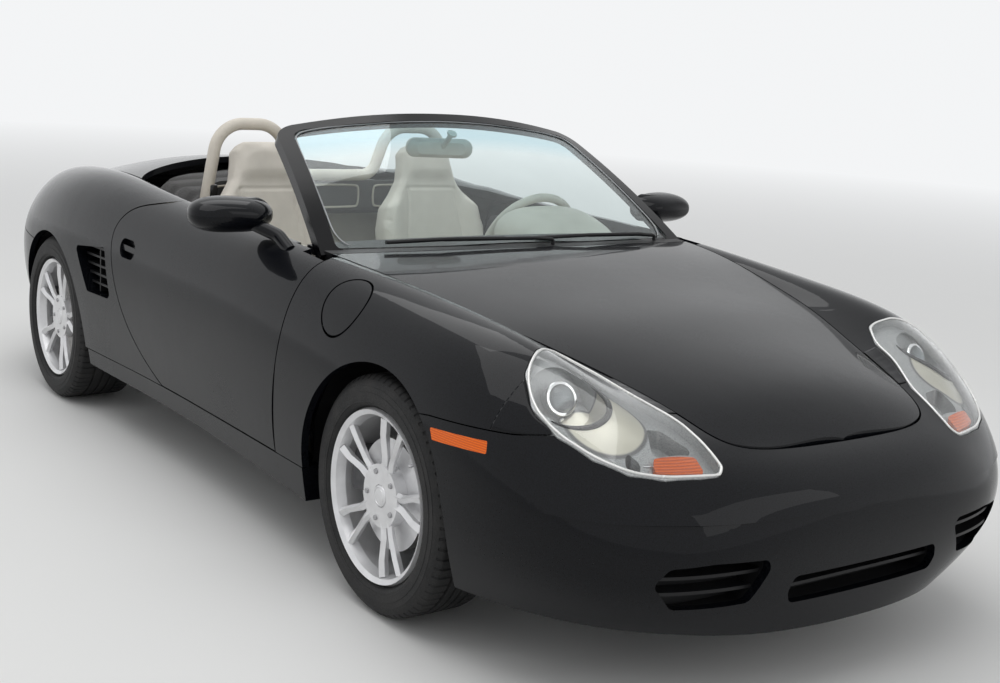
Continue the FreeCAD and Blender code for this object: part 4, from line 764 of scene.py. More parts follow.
def placeMirror(bm, centre, turn, side):
    bmesh.ops.rotate(bm, verts=bm.verts, cent=(0, 0, 0), matrix=Matrix.Rotation(math.radians(turn), 3, "Z"))
    bmesh.ops.translate(bm, verts=bm.verts, vec=centre)
    flip(bm, side)


def mirrorPlate(name, key, side, body):  # a rounded glass plate that looks rearwards
    centre, turn, half = mirror[key]
    bm = bmesh.new()
    corners = [(0.0, a * half[0], b * half[1]) for a, b in squareCorners]
    drawOut(bm, cutOutline(bm, corners, half[1] * mirror["corner"], 8), (-mirror["thick"], 0, 0), 0.0008, 2)
    placeMirror(bm, centre, turn, side)
    addPiece(name, bm, mirrorGlass, body)


for side, word in sides:
    mirrorPlate("doorMirrorGlass_" + word, "door", side, "door_" + word)
mirrorPlate("innerMirrorGlass", "inner", 1, "shell")
print("mirrors are glazed")

screen = {
    "base": (0.653, 0.647, 0.864), "baseMiddle": (0.690, 0.880),
    "top": (0.144, 0.565, 1.162), "topMiddle": (0.205, 1.208),
    "bulge": 0.014,
    # the glass's edge: distance from the middle, run up the slope
    "edge": ((0.600, 0.030), (0.630, 0.060), (0.612, 0.190), (0.585, 0.370), (0.560, 0.520), (0.548, 0.570),
             (0.515, 0.592), (0.400, 0.594), (0.200, 0.590), (0.0, 0.589)),
    "seal": 0.0026,
}


def screenSpot(y, run, out):  # a point on the curved glass, by its distance aside and its run up the slope
    base, top = screen["base"], screen["top"]
    (lowX, lowZ), (highX, highZ) = screen["baseMiddle"], screen["topMiddle"]
    slope = Vector((highX - lowX, 0, highZ - lowZ))
    length = slope.length
    slope.normalize()
    normal = Vector((slope.z, 0, -slope.x))
    up = run / length
    for _ in range(8):
        across = y / (base[1] + (top[1] - base[1]) * up)
        bow = 1 - across * across
        low = Vector((base[0] + bow * (lowX - base[0]), across * base[1], base[2] + bow * (lowZ - base[2])))
        high = Vector((top[0] + bow * (highX - top[0]), across * top[1], top[2] + bow * (highZ - top[2])))
        spot = low + (high - low) * up + normal * (screen["bulge"] * (1 - (2 * up - 1) ** 2))
        up += (run - (spot - Vector((lowX, 0, lowZ))).dot(slope)) / length
    return spot + normal * out


def buildSeal():
    right = [screenSpot(y, run, screen["seal"]) for y, run in screen["edge"]]
    left = [mirrored(p, -1) for p in reversed(right[:-1])]
    # the seal is black rubber; it is coloured mid grey as a painted highlight along the windscreen's edge
    highlightGrey = satinPlastic("sealGrey", (0.30, 0.31, 0.32), 0.35, 700.0, 0.0002)
    rail("screenSeal", right + left, screen["seal"], highlightGrey, "shell", "black_trim")


buildSeal()
print("windscreen seal is laid")

cluster = {
    "centre": (0.3975, 0.350, 0.856),
    "lean": (-0.97, 0.0, 0.22),
    "half": (0.105, 0.036),
    "thick": 0.004,
    "dials": ((0.0, 0.037), (0.066, 0.030), (-0.066, 0.030)),  # place aside, radius
    "ring": ((0.0, 0.0), (0.0, 0.006), (0.0012, 0.0072), (0.0026, 0.006), (0.0026, 0.0)),  # inwards, outwards
    "ticks": 22,
    "sweep": 250.0,
    "tick": (0.0055, 0.0032, 0.0005, 0.005),  # length of every third, of the others, half width, inset
    "needleWay": (-0.75, -0.66),
    "hub": ((0.0, 0.0045), (0.0040, 0.0040), (0.0052, 0.0), (0.0, 0.0)),
}


def buildCluster():
    way = Vector(cluster["lean"]).normalized()
    up = Vector((0, 1, 0)).cross(way) * -1
    centre = Vector(cluster["centre"])
    wide, tall = cluster["half"]
    corners = [centre + Vector((0, a * wide, 0)) + up * b * tall for a, b in squareCorners]
    slab("dialPlate", corners, 0.03, way * cluster["thick"], 0.001, dialFace, "shell", (6, 2))
    rings, marks, needles = bmesh.new(), bmesh.new(), bmesh.new()
    long, short, half, inset = cluster["tick"]
    for aside, radius in cluster["dials"]:
        spot = centre + Vector((0, aside, 0)) + way * cluster["thick"]
        turned(rings, [(radius - inwards, height) for inwards, height in cluster["ring"]], 56, spot, way)
        for k, angle in enumerate(evenly(90 - cluster["sweep"] / 2, 90 + cluster["sweep"] / 2, cluster["ticks"] - 1)):
            angle = math.radians(angle)
            out = Vector((0, math.cos(angle), 0)) + up * math.sin(angle)
            beside = out.cross(way) * half
            far = spot + out * (radius - inset)
            near = spot + out * (radius - inset - (short if k % 3 else long))
            face = [p + way * 0.0004 for p in (far - beside, far + beside, near + beside, near - beside)]
            drawOut(marks, cutOutline(marks, face), way * 0.0003)
        point = (Vector((0, cluster["needleWay"][0], 0)) + up * cluster["needleWay"][1]).normalized()
        needle = ((0.0, radius * 0.82), (0.0005, radius * 0.82), (0.0014, 0.0), (0.0, -0.006))
        turned(needles, needle, 8, spot + way * 0.003, point)
        turned(needles, cluster["hub"], 20, spot, way)
    addPiece("dialRings", rings, chrome, "shell")
    addPiece("dialMarks", marks, dialMark, "shell")
    addPiece("dialNeedles", needles, needleRed, "shell")


buildCluster()

helm = {
    "centre": (0.238, 0.358, 0.802),
    "tilt": 25.0,
    "pad": ((-0.074, 0.052), (0.074, 0.052), (0.066, -0.018), (0.034, -0.062), (-0.034, -0.062), (-0.066, -0.018)),
    "padFrom": -0.030, "padTo": 0.020,
    "spokes": (90, 210, 330),
    "spoke": ((0.040, 0.030), (0.105, 0.017), (0.176, 0.022)),  # reach, half width
    "spokeFrom": -0.016, "spokeThick": 0.018,
    "stalk": ((0.0, 0.150), (0.0050, 0.149), (0.0065, 0.140), (0.0062, 0.115), (0.0040, 0.100), (0.0050, 0.0),
              (0.0, 0.0)),
    "stalkFoot": (0.030, -0.004, -0.075),
}


def helmSpot(aside, up, out):  # a point by its place in the steering wheel's own plane
    tilt = math.radians(helm["tilt"])
    driver = Vector((-math.cos(tilt), 0, math.sin(tilt)))
    rise = Vector((math.sin(tilt), 0, math.cos(tilt)))
    return Vector(helm["centre"]) + Vector((0, aside, 0)) + rise * up + driver * out


def buildHelm():
    depth = helmSpot(0, 0, helm["padTo"]) - helmSpot(0, 0, helm["padFrom"])
    slab("helmPad", [helmSpot(a, b, helm["padFrom"]) for a, b in helm["pad"]], 0.016, depth, 0.010, "pale_leather",
         "steering_wheel", (4, 4), levels=1)
    bm = bmesh.new()
    for angle in helm["spokes"]:
        a = math.radians(angle)
        way = Vector((math.cos(a), -math.sin(a)))
        aside = Vector((way.y, -way.x))
        edge = [way * reach + aside * half for reach, half in helm["spoke"]]
        edge += [way * reach - aside * half for reach, half in reversed(helm["spoke"])]
        face = cutOutline(bm, [helmSpot(c.x, c.y, helm["spokeFrom"]) for c in edge])
        drawOut(bm, face, helmSpot(0, 0, helm["spokeThick"]) - helmSpot(0, 0, 0), 0.006)
    addPiece("helmSpokes", bm, "pale_leather", "steering_wheel", levels=1)
    bm = bmesh.new()
    aside, up, out = helm["stalkFoot"]
    for side, word in sides:
        turned(bm, helm["stalk"], 16, helmSpot(side * aside, up, out), (0.05, side, 0.10))
    addPiece("columnStalks", bm, "dark_trim", "shell")


buildHelm()
print("instruments and steering wheel are built")

middle = {
    # panels on the sloping face: low and high point as x and z, rounding of the corners
    "panels": (((0.140, 0.488), (0.262, 0.542), 0.008), ((0.304, 0.563), (0.366, 0.631), 0.0)),
    "panel": (0.088, 0.005, 0.001),  # half width, thickness, sink
    "buttons": ((-0.064, -0.038, -0.012, 0.014, 0.040, 0.066), (0.30, 0.62)),
    "button": (0.010, 0.10, 0.0035),  # half width, half height as a share of the panel, thickness
    "lever": (0.010, 0.0, 0.487),
    "boot": ((0.058, 0.0), (0.056, 0.008), (0.047, 0.016), (0.050, 0.024), (0.038, 0.034), (0.041, 0.042),
             (0.028, 0.053), (0.030, 0.060), (0.018, 0.072), (0.010, 0.078), (0.0, 0.078)),
    "knob": ((0.0, 0.092), (0.012, 0.090), (0.021, 0.080), (0.024, 0.064), (0.021, 0.046), (0.013, 0.032),
             (0.009, 0.022), (0.009, 0.0), (0.0, 0.0)),
    "knobFoot": (-0.008, 0, 0.076),
    "brakeFoot": (-0.16, 0.062, 0.535),
    "brake": ((0.0, 0.215), (0.011, 0.213), (0.0165, 0.200), (0.0175, 0.150), (0.0155, 0.075), (0.011, 0.050),
              (0.010, 0.0), (0.0, 0.0)),
}


def buildConsole():
    plates, buttons = bmesh.new(), bmesh.new()
    half, thick, sink = middle["panel"]
    wide, tall, high = middle["button"]
    for (x0, z0), (x1, z1), rounding in middle["panels"]:
        along = Vector((x1 - x0, 0, z1 - z0))
        out = Vector((-along.z, 0, along.x)).normalized()
        foot = Vector((x0, 0, z0)) - out * sink
        corners = [foot + Vector((0, a * half, 0)) + along * (0.5 + 0.5 * b) for a, b in squareCorners]
        drawOut(plates, cutOutline(plates, corners, rounding), out * thick, 0.0015, 2)
        up, aside = along.normalized() * (along.length * tall), Vector((0, wide, 0))
        for y in middle["buttons"][0]:
            for share in middle["buttons"][1]:
                spot = foot + along * share + out * thick + Vector((0, y, 0))
                face = cutOutline(buttons, [spot + aside * a + up * b for a, b in squareCorners])
                drawOut(buttons, face, out * high, 0.0012, 2)
    addPiece("consolePanels", plates, blackGloss, "shell", "dark_trim")
    addPiece("consoleButtons", buttons, "dark_trim", "shell")
    lever, way = middle["lever"], (-0.1, 0, 1)
    turnedPiece("leverBoot", middle["boot"], 36, lever, way, "pale_leather", "shell", levels=1)
    foot = Vector(lever) + Vector(middle["knobFoot"])
    turnedPiece("leverKnob", middle["knob"], 32, foot, way, blackGloss, "shell", slot="dark_trim", levels=1)
    turnedPiece("brakeLever", middle["brake"], 24, middle["brakeFoot"], (0.94, 0.0, 0.30), "pale_leather", "shell",
                levels=1)


buildConsole()
print("console is fitted")

door = {
    "face": 0.652,
    "sink": 0.004,
    # trims in side view: look, depth, edge, outline as x and z
    "trims": (
        ("armRest", "pale_leather", 0.052, 0.016, (
            (0.300, 0.560), (0.330, 0.600), (0.280, 0.628), (-0.180, 0.612), (-0.330, 0.590), (-0.330, 0.558),
            (-0.120, 0.545))),
        ("doorPocket", "pale_trim", 0.030, 0.010, (
            (0.420, 0.400), (0.420, 0.470), (-0.100, 0.462), (-0.240, 0.430), (-0.220, 0.385))),
    ),
    "speakerSpot": (0.400, 0.655, 0.530),
    "speaker": ((0.0, 0.0085), (0.055, 0.0065), (0.062, 0.0085), (0.068, 0.0065), (0.070, 0.0), (0.0, 0.0)),
    "buttonSpots": ((0.235, 0.655), (0.205, 0.655)),
    "button": ((0.0, 0.010), (0.009, 0.009), (0.012, 0.004), (0.013, -0.004), (0.0, -0.004)),
    # door pull: x, distance from the door's face, z
    "pull": ((0.085, -0.004, 0.665), (0.080, 0.030, 0.668), (0.02, 0.036, 0.678), (-0.06, 0.036, 0.678),
             (-0.12, 0.030, 0.668), (-0.125, -0.004, 0.665)),
    "pullRadius": 0.0085,
}


def buildDoorTrims(side, word):
    body, inwards, face = "door_" + word, (0, -side, 0), door["face"]
    for name, look, depth, edge, outline in door["trims"]:
        corners = [(x, side * (face + door["sink"]), z) for x, z in outline]
        depth = (0, -side * (depth + door["sink"]), 0)
        slab("%s_%s" % (name, word), corners, 0.018, depth, edge, look, body, (3, 3), levels=1)
    spot = mirrored(door["speakerSpot"], side)
    turnedPiece("speaker_" + word, door["speaker"], 48, spot, inwards, "dark_trim", body)
    bm = bmesh.new()
    for x, z in door["buttonSpots"]:
        turned(bm, door["button"], 20, (x, side * face, z), inwards)
    addPiece("doorButtons_" + word, bm, "dark_trim", body)
    rail("doorPull_" + word, [(x, side * (face - d), z) for x, d, z in door["pull"]], door["pullRadius"], chrome, body,
         "pale_trim")


both(buildDoorTrims)
print("door trims are fitted")

roof = {
    "from": -0.609,
    "radius": 0.676,
    "gap": 0.009,
    "half": 0.540,
    "seen": ((-1.262, -0.622), 0.50),  # the part of the CAD node that gives the height
    "above": 2.0,
    "otherwise": 0.92,
    "drop": 0.010,
    "fold": 0.016,
    "tuck": 0.050,
    "thick": 0.0016,
    "width": 1.20,
}


def buildRoof():  # the cloth of the folded roof, laid in creases across the car
    cast = finder("folded_roof")
    (rear, front), aside = roof["seen"]
    bm = bmesh.new()
    bmesh.ops.create_grid(bm, x_segments=110, y_segments=130, size=1.0)
    for vert in bm.verts:
        u, v = (vert.co.x + 1) / 2, vert.co.y
        y = v * roof["half"]
        x = roof["from"] - u * (math.sqrt(roof["radius"] ** 2 - y * y) - roof["gap"])
        spot = cast((min(max(x, rear), front), max(min(y, aside), -aside), roof["above"]))
        height = spot.z if spot else roof["otherwise"]
        away = (roof["from"] - x) / roof["radius"]
        bend = x * 19.0 + 0.7 * math.sin(v * 1.9) + 0.35 * math.sin(v * 7.0 + x * 5.0)
        fold = (0.5 + 0.5 * math.sin(bend * 2.1)) ** 3
        wrinkle = 0.25 * math.sin(v * 31.0 + 4.0 * math.sin(x * 24.0)) * (1 - abs(v))
        rim = max(smoothStep(abs(v), 0.88, 1.0), smoothStep(u, 0.93, 1.0), smoothStep(1 - u, 0.955, 1.0))
        folded = roof["fold"] * (fold + 0.15 * wrinkle + 0.2 * away)
        vert.co = Vector((x, y, height - roof["drop"] - folded - roof["tuck"] * rim))
    outward(bm)
    area = sum(face.calc_area() for face in bm.faces)
    piece = addPiece("roofCloth", bm, "roof_cloth", "shell", stands=["folded_roof"], smooth=80.0)
    thicken(piece, roof["thick"])
    area / roof["width"]


buildRoof()
print("folded roof is laid")

lamp = {
    "outline": ((1.610, 0.560), (1.640, 0.650), (1.690, 0.718), (1.760, 0.745), (1.840, 0.730), (1.919, 0.687),
                (1.980, 0.630), (2.021, 0.560), (2.048, 0.480), (2.066, 0.404), (1.990, 0.405), (1.895, 0.418),
                (1.840, 0.448), (1.775, 0.482), (1.690, 0.505)),
    "corner": 0.030,
    "rimInset": 0.0058,
    "rimRadius": 0.0036,
    "above": 1.2,
    "centre": (1.745, 0.640, 0.690),
    "axis": (1.0, 0.1, 0.45),
    "sink": 0.012,  # the barrel's front lies this far behind the cup's centre
    "dome": ((0.0325, -0.004), (0.0325, 0.001), (0.0315, 0.006), (0.027, 0.0115), (0.019, 0.0155), (0.010, 0.0175),
             (0.0, 0.018)),
    "collar": ((0.0325, -0.003), (0.0405, -0.003), (0.0415, 0.001), (0.0400, 0.004), (0.0340, 0.0045),
               (0.0325, 0.002), (0.0325, -0.003)),
    "bulb": ((0.0, 0.030), (0.0035, 0.0285), (0.0060, 0.024), (0.0066, 0.016), (0.0060, 0.008), (0.0095, 0.004),
             (0.0100, 0.0), (0.0, 0.0)),
    "bulbSpot": (0.044, 0.056),  # behind the centre, below the axis
    # crescent: a dark gloss rail on one side of the cup's rim, put there as painted shadow in the gap
    "crescent": {"from": -62, "sweep": 170, "steps": 24, "circle": 0.0815, "radius": 0.0052, "widths": (0.35, 1.15)},
    "bar": {"from": (1.962, 0.574), "step": (0.006, -0.0132), "points": 15, "radius": 0.0018, "lift": 0.001},
}


def buildRim(side, word):  # the pale rim just inside the lamp's outline
    flat = bmesh.new()
    cutOutline(flat, [(x, y, 0.0) for x, y in lamp["outline"]], lamp["corner"], 5)
    flat.faces.ensure_lookup_table()
    loop = [v.co.copy() for v in flat.faces[0].verts]
    flat.free()
    inwards = lamp["rimInset"]
    if sum(a.x * b.y - b.x * a.y for a, b in zip(loop, loop[1:] + loop[:1])) <= 0:
        inwards = -inwards
    cast = finder("headlamp_bowls", "headlamp_lenses")
    rim = []
    for before, spot, after in zip(loop[-1:] + loop, loop, loop[1:] + loop[:1]):
        way = (after - before).normalized()
        inner = spot + Vector((-way.y, way.x, 0)) * inwards
        rim.append(cast((inner.x, side * inner.y, lamp["above"])))
    pale = metal("lampRim", (0.80, 0.80, 0.78), 0.25, 0.05, 0.35, 0.5, 30.0)
    rail("lampRim_" + word, [p for p in rim if p], lamp["rimRadius"], pale, "shell", "lamp_silver", True)


def buildLamp(side, word):
    buildRim(side, word)
    cast = finder("headlamp_bowls")
    centre, way = mirrored(lamp["centre"], side), mirrored(lamp["axis"], side).normalized()
    front = centre - way * lamp["sink"]
    dome = clearGlass("lampDome", (0.80, 0.86, 0.90))
    turnedPiece("lampDome_" + word, lamp["dome"], 40, front, way, dome, "shell", slot="lamp_lens")
    low = way.cross(way.cross(Vector((0, 0, 1))).normalized()).normalized()
    low = low if low.z < 0 else -low
    bm = bmesh.new()
    turned(bm, lamp["collar"], 48, front, way)
    behind, below = lamp["bulbSpot"]
    turned(bm, lamp["bulb"], 20, centre - way * behind + low * below, way + low * -0.4)
    addPiece("lampCollar_" + word, bm, chrome, "shell", "lamp_silver")
    forward = (Vector((1, 0, 0)) - way * way.x).normalized()
    cross = way.cross(forward).normalized()
    cross = cross if cross.y * -side > 0 else -cross
    # a dark crescent laid on the cup's rim as painted shadow of the gap there, thickest in its middle
    shadowArc = lamp["crescent"]
    points, widths = [], []
    for k in range(shadowArc["steps"] + 1):
        angle = math.radians(shadowArc["from"] + shadowArc["sweep"] * k / shadowArc["steps"])
        out = forward * math.cos(angle) + cross * math.sin(angle)
        hit = cast(centre + out * shadowArc["circle"] + way * 0.20, -way)
        if hit:
            points.append(hit)
            widths.append(shadowArc["widths"][0] + shadowArc["widths"][1] * math.sin(math.pi * k / shadowArc["steps"]))
    rail("lampCrescent_" + word, points, shadowArc["radius"], blackGloss, "shell", "lamp_silver", False, widths)
    bar = lamp["bar"]
    spots = [[start + step * k for start, step in zip(bar["from"], bar["step"])] for k in range(bar["points"])]
    hits = [cast((x, side * y, lamp["above"])) for x, y in spots]
    points = [hit + Vector((0, 0, bar["lift"])) for hit in hits if hit]
    rail("lampBar_" + word, points, bar["radius"], chrome, "shell", "lamp_silver")


both(buildLamp)
print("headlamps are fitted out")

strip = {
    # the fender's front end beside the lamp: x, then aside and height at five places from its lower edge to the lamp
    "outer": ((1.700, 0.8119, 0.6213, 0.7941, 0.6537, 0.7728, 0.6831, 0.7487, 0.7095, 0.7219, 0.7326),
              (1.722, 0.8038, 0.6227, 0.7884, 0.6488, 0.7707, 0.6727, 0.7513, 0.6946, 0.7304, 0.7144),
              (1.745, 0.7939, 0.6241, 0.7817, 0.6431, 0.7683, 0.6608, 0.7542, 0.6774, 0.7392, 0.6928),
              (1.770, 0.7803, 0.6267, 0.7715, 0.6389, 0.7624, 0.6506, 0.7529, 0.6617, 0.7431, 0.6722),
              (1.800, 0.7589, 0.6316, 0.7536, 0.6379, 0.7483, 0.6441, 0.7430, 0.6500, 0.7375, 0.6558),
              (1.829, 0.7331, 0.6365, 0.7330, 0.6366, 0.7329, 0.6367, 0.7328, 0.6368, 0.7327, 0.6369)),
    "seam": ((1.640, 0.468), (1.885, 0.396)),
    "lamp": ((1.690, 0.505), (1.775, 0.482), (1.840, 0.448), (1.895, 0.418)),
    "from": 1.7002, "to": 1.869,
    "rows": 34, "across": 8,
    "reach": 0.985,  # share of the way to the lamp
    "lensSpots": (0.012, 0.024, 0.040),  # distances outboard of the lamp's inner edge where its height is read
    "seamGap": 0.0015,
    "lampGap": 0.0012,
    "thick": 0.0025,
}


def tableAt(table, x):  # a value read from a table between its rows
    for a, b in zip(table, table[1:]):
        if x <= b[0]:
            return a[1] + (b[1] - a[1]) * (x - a[0]) / (b[0] - a[0])
    return table[-1][1]


def through(samples, place):  # the polynomial through all samples, read at one place
    total = 0.0
    for k, (a, value) in enumerate(samples):
        for m, (b, _) in enumerate(samples):
            if m != k:
                value = value * (place - b) / (a - b)
        total += value
    return total


def outerSpot(x, t):  # distance aside and height of the outer strip, t from 0 at its lower edge to 4 at the lamp
    outer = strip["outer"]
    return [through([(n, through([(row[0], row[1 + 2 * n + c]) for row in outer], x)) for n in range(5)], t)
            for c in (0, 1)]


def buildStrip(side, word):
    bm = bmesh.new()
    outer, inner = [], []
    lid, lens = finder("front_lid"), finder("headlamp_lenses")
    shares = evenly(0.0, 1.0, strip["across"])
    for share in evenly(0.0, 1.0, strip["rows"]):
        x = strip["from"] + (strip["outer"][-1][0] - strip["from"]) * share
        spots = [outerSpot(x, strip["reach"] * 4 * part) for part in shares]
        outer.append([bm.verts.new((x, side * y, z)) for y, z in spots])
        x = strip["from"] + (strip["to"] - strip["from"]) * share
        yLamp, ySeam = tableAt(strip["lamp"], x), tableAt(strip["seam"], x) + strip["seamGap"]
        hits = [(yLamp + out, lens((x, side * (yLamp + out), lamp["above"]))) for out in strip["lensSpots"]]
        samples = [(y, hit.z) for y, hit in hits if hit]
        samples.append((ySeam - 0.004, lid((x, side * (ySeam - 0.010), lamp["above"])).z))
        places = [ySeam + (yLamp - strip["lampGap"] - ySeam) * part for part in shares]
        inner.append([bm.verts.new((x, side * y, through(samples, y))) for y in places])
    skin(bm, outer)
    skin(bm, inner)
    outward(bm)
    bm.normal_update()
    bmesh.ops.reverse_faces(bm, faces=[f for f in bm.faces if f.normal.z + f.normal.y * side < 0])
    thicken(addPiece("fenderNose_" + word, bm, "body_paint", "shell", smooth=80.0), strip["thick"])


both(buildStrip)
print("fender ends are closed beside the lamps")

housing = {
    "half": (0.131, 0.057), "deep": 0.100, "lip": 0.004,
    "square": 2.5,
    "rings": 12, "steps": 40,
    "narrow": 0.12,  # the inner end is this much lower than the outer one
    "shift": 0.018,
    "rim": 0.007, "step": (0.002, -0.0030),
}


def buildHousing(side, word):  # the rounded cup of a door mirror, open to the rear
    bm = bmesh.new()
    rings = []
    for k in range(housing["rings"]):
        share = k / housing["rings"]
        size = (1.0 - share ** 2.3) ** 0.5
        ring = []
        for m in range(housing["steps"]):
            angle = math.tau * m / housing["steps"]
            a, b = squarish(angle, housing["square"])
            low = 1.0 - housing["narrow"] * (0.5 - 0.5 * math.cos(angle))
            y = a * housing["half"][0] * (0.25 + 0.75 * size) + housing["shift"] * share
            z = b * housing["half"][1] * size * low
            ring.append(bm.verts.new((housing["deep"] * share - housing["lip"], y, z)))
        rings.append(ring)
    skin(bm, rings, True)
    bm.faces.new(rings[-1])
    edge = bm.faces.new(rings[0])
    bmesh.ops.inset_region(bm, faces=[edge], thickness=housing["rim"])
    bmesh.ops.inset_region(bm, faces=[edge], thickness=housing["step"][0], depth=housing["step"][1])
    outward(bm)
    placeMirror(bm, mirror["door"][0], mirror["door"][1], side)
    addPiece("mirrorHousing_" + word, bm, "body_paint", "door_" + word, smooth=60.0)


both(buildHousing)

kick = {
    # carpeted strip from the floor's edge up the inner side of the sill: distance aside and height
    "profile": ((0.6900, 0.2058), (0.7120, 0.2066), (0.7240, 0.2110), (0.7310, 0.2200), (0.7325, 0.2440),
                (0.7355, 0.2800)),
    "from": -0.690, "to": 0.870, "steps": 24,
    "thick": 0.002,
}


def buildKick(side, word):
    bm = bmesh.new()
    skin(bm, [[bm.verts.new((x, side * y, z)) for y, z in kick["profile"]]
              for x in evenly(kick["from"], kick["to"], kick["steps"])])
    outward(bm)
    thicken(addPiece("kickStrip_" + word, bm, darkCarpet, "shell", "dark_trim", smooth=80.0), kick["thick"], 0.0)


both(buildKick)
print("mirror cups and sill carpets are fitted")

hood = {
    # the visor over the dials: x, half width, rise above its foot
    "rows": ((0.318, 0.200, 0.092), (0.326, 0.206, 0.100), (0.350, 0.208, 0.102), (0.420, 0.200, 0.090),
             (0.490, 0.184, 0.066), (0.540, 0.168, 0.038), (0.566, 0.158, 0.008)),
    "middle": 0.350,
    "foot": 0.838,
    "steps": 22,
    "square": 2.7,
    "thick": 0.007,
}


def buildHood():
    bm = bmesh.new()
    bow = [squarish(angle, hood["square"]) for angle in evenly(0.0, math.pi, hood["steps"])]
    skin(bm, [[bm.verts.new((x, hood["middle"] + a * half, hood["foot"] + b * rise)) for a, b in bow]
              for x, half, rise in hood["rows"]])
    outward(bm)
    thicken(addPiece("dialVisor", bm, "pale_leather", "shell", levels=1), hood["thick"])


buildHood()

tray = {
    "x": -0.5905, "thick": 0.011, "low": 0.8068, "high": 0.921, "half": 0.505,
    "slope": (0.06, 0.02),  # cut from the upper corners
    "pockets": (-0.335, 0.0, 0.335),
    # a pocket's edge: aside as a share of its half width, height
    "pocket": ((-1, 0.824), (-0.86, 0.816), (0.86, 0.816), (1, 0.824), (1, 0.892), (0.90, 0.903), (-0.90, 0.903),
               (-1, 0.892)),
    "pocketHalf": 0.135,
    "edge": 0.0042,
}


def buildTray():  # the dark panel behind the seats, with pale-edged pockets
    x, low, high, half = tray["x"], tray["low"], tray["high"], tray["half"]
    wide, tall = tray["slope"]
    outline = ((-half, low), (half, low), (half, high - tall), (half - wide, high), (-half + wide, high),
               (-half, high - tall))
    slab("rearPanel", [(x, y, z) for y, z in outline], 0.012, (-tray["thick"], 0, 0), 0.003, "dark_trim", "shell")
    for k, y in enumerate(tray["pockets"]):
        loop = [(x + 0.001, y + share * tray["pocketHalf"], z) for share, z in tray["pocket"]]
        rail("pocketEdge%d" % k, loop, tray["edge"], "pale_trim", "shell", closed=True)


buildTray()

belt = {
    "path": ((-0.548, 0.497, 0.878), (-0.540, 0.512, 0.800), (-0.520, 0.532, 0.640), (-0.480, 0.548, 0.470),
             (-0.440, 0.552, 0.330)),
    "shares": (-1, -0.4, 0.4, 1),
    "half": 0.0235, "thick": 0.0013,
    "guide": ((-0.560, 0.494, 0.912), ((-0.028, -0.016), (0.030, -0.012), (0.030, 0.020), (-0.028, 0.020))),
    "buckle": ((-0.255, 0.112, 0.405), (0.026, 0.010)),
    "button": ((-0.235, 0.112, 0.499), (0.016, 0.0065)),
}


def buildBelts(side, word):
    bm = bmesh.new()
    path = [mirrored(point, side) for point in belt["path"]]
    rows = []
    for before, middle, after in zip(path[:1] + path, path, path[1:] + path[-1:]):
        along = (after - before).normalized()
        across = (Vector((1, 0, 0)) - along * along.x).normalized()
        rows.append([bm.verts.new(middle + across * share * belt["half"]) for share in belt["shares"]])
    skin(bm, rows)
    outward(bm)
    thicken(addPiece("belt_" + word, bm, "dark_trim", "shell", levels=2), belt["thick"])
    (x, y, z), plan = belt["guide"]
    corners = [(x + a, side * (y + b), z) for a, b in plan]
    slab("beltGuide_" + word, corners, 0.010, (0, 0, -0.050), 0.005, blackGloss, "shell", slot="dark_trim")
    for name, depth, rounding, edge, look, steps in (
            ("buckle", (0.02, 0, 0.095), 0.005, 0.003, "dark_trim", (3, 2)),
            ("button", (0, 0, 0.003), 0.003, 0.001, needleRed, (2, 2))):
        (x, y, z), (long, wide) = belt[name]
        corners = [(x + a * long, side * y + b * wide, z) for a, b in squareCorners]
        slab("belt%s_%s" % (name.title(), word), corners, rounding, depth, edge, look, "shell", steps, slot="dark_trim")


both(buildBelts)

tip = {
    "foot": (-2.060, 0.0, 0.292),
    "profile": ((0.0405, 0.0), (0.0415, 0.060), (0.0430, 0.084), (0.0455, 0.088), (0.0470, 0.084), (0.0455, 0.060),
                (0.0445, 0.0), (0.0405, 0.0)),
}
turnedPiece("exhaustTip", tip["profile"], 48, tip["foot"], (-1, 0, 0), chrome, "shell", slot="exhaust_steel")
print("rear panel, belts and exhaust tip are fitted")

cabin = {
    # front and rear end, distance aside, lowest height, lean of the front and of the rear end
    "floor_pan": (0.92, -0.74, 0.70, 0.2005, 0.0, 0.0),
    "bulkheads": (0.580, -0.622, 0.72, 0.15, 0.348, 0.1017),
    "kneeHeight": 0.42,  # the front bulkhead leans forward below this
    "footHeight": 0.19,
    "steel": (0.09, 0.09, 0.095),
}


def cabinFloor(name, node):  # carpet inside the cabin, coated steel elsewhere
    front, back, wide, above, frontLean, backLean = cabin[node]
    finish = Finish(name, sheen_weight=0.15)
    x, y, z = finish.axis("X"), finish.axis("Y").math("ABSOLUTE"), finish.axis("Z")
    nose = x - (cabin["kneeHeight"] - z).math("MAXIMUM", 0.0) * frontLean
    heel = x + (z - cabin["footHeight"]) * backLean
    inside = finish.past(heel, back) * finish.before(nose, front) * finish.before(y, wide) * finish.past(z, above)
    pile, patch, light = wool(finish)
    woven = finish.blend(light, (0.27, 0.245, 0.205), (0.44, 0.405, 0.345))
    plate = finish.blend(finish.middling(patch), cabin["steel"], shade(cabin["steel"], 0.8))
    finish.paint(inside, plate, woven)
    finish.set("Roughness", inside * 0.38 + 0.56)
    finish.set("Metallic", 0.5 - inside * 0.5)
    finish.bump(pile * inside + patch * 0.1, 0.003)
    dress(node, finish.material)


cabinFloor("floorFinish", "floor_pan")
cabinFloor("bulkheadFinish", "bulkheads")

tail = {
    "height": 0.689,  # the amber and clear fields lie below this
    "amberFrom": 0.640,
    "clearFrom": 0.540,
    "ribs": 55.0,
}


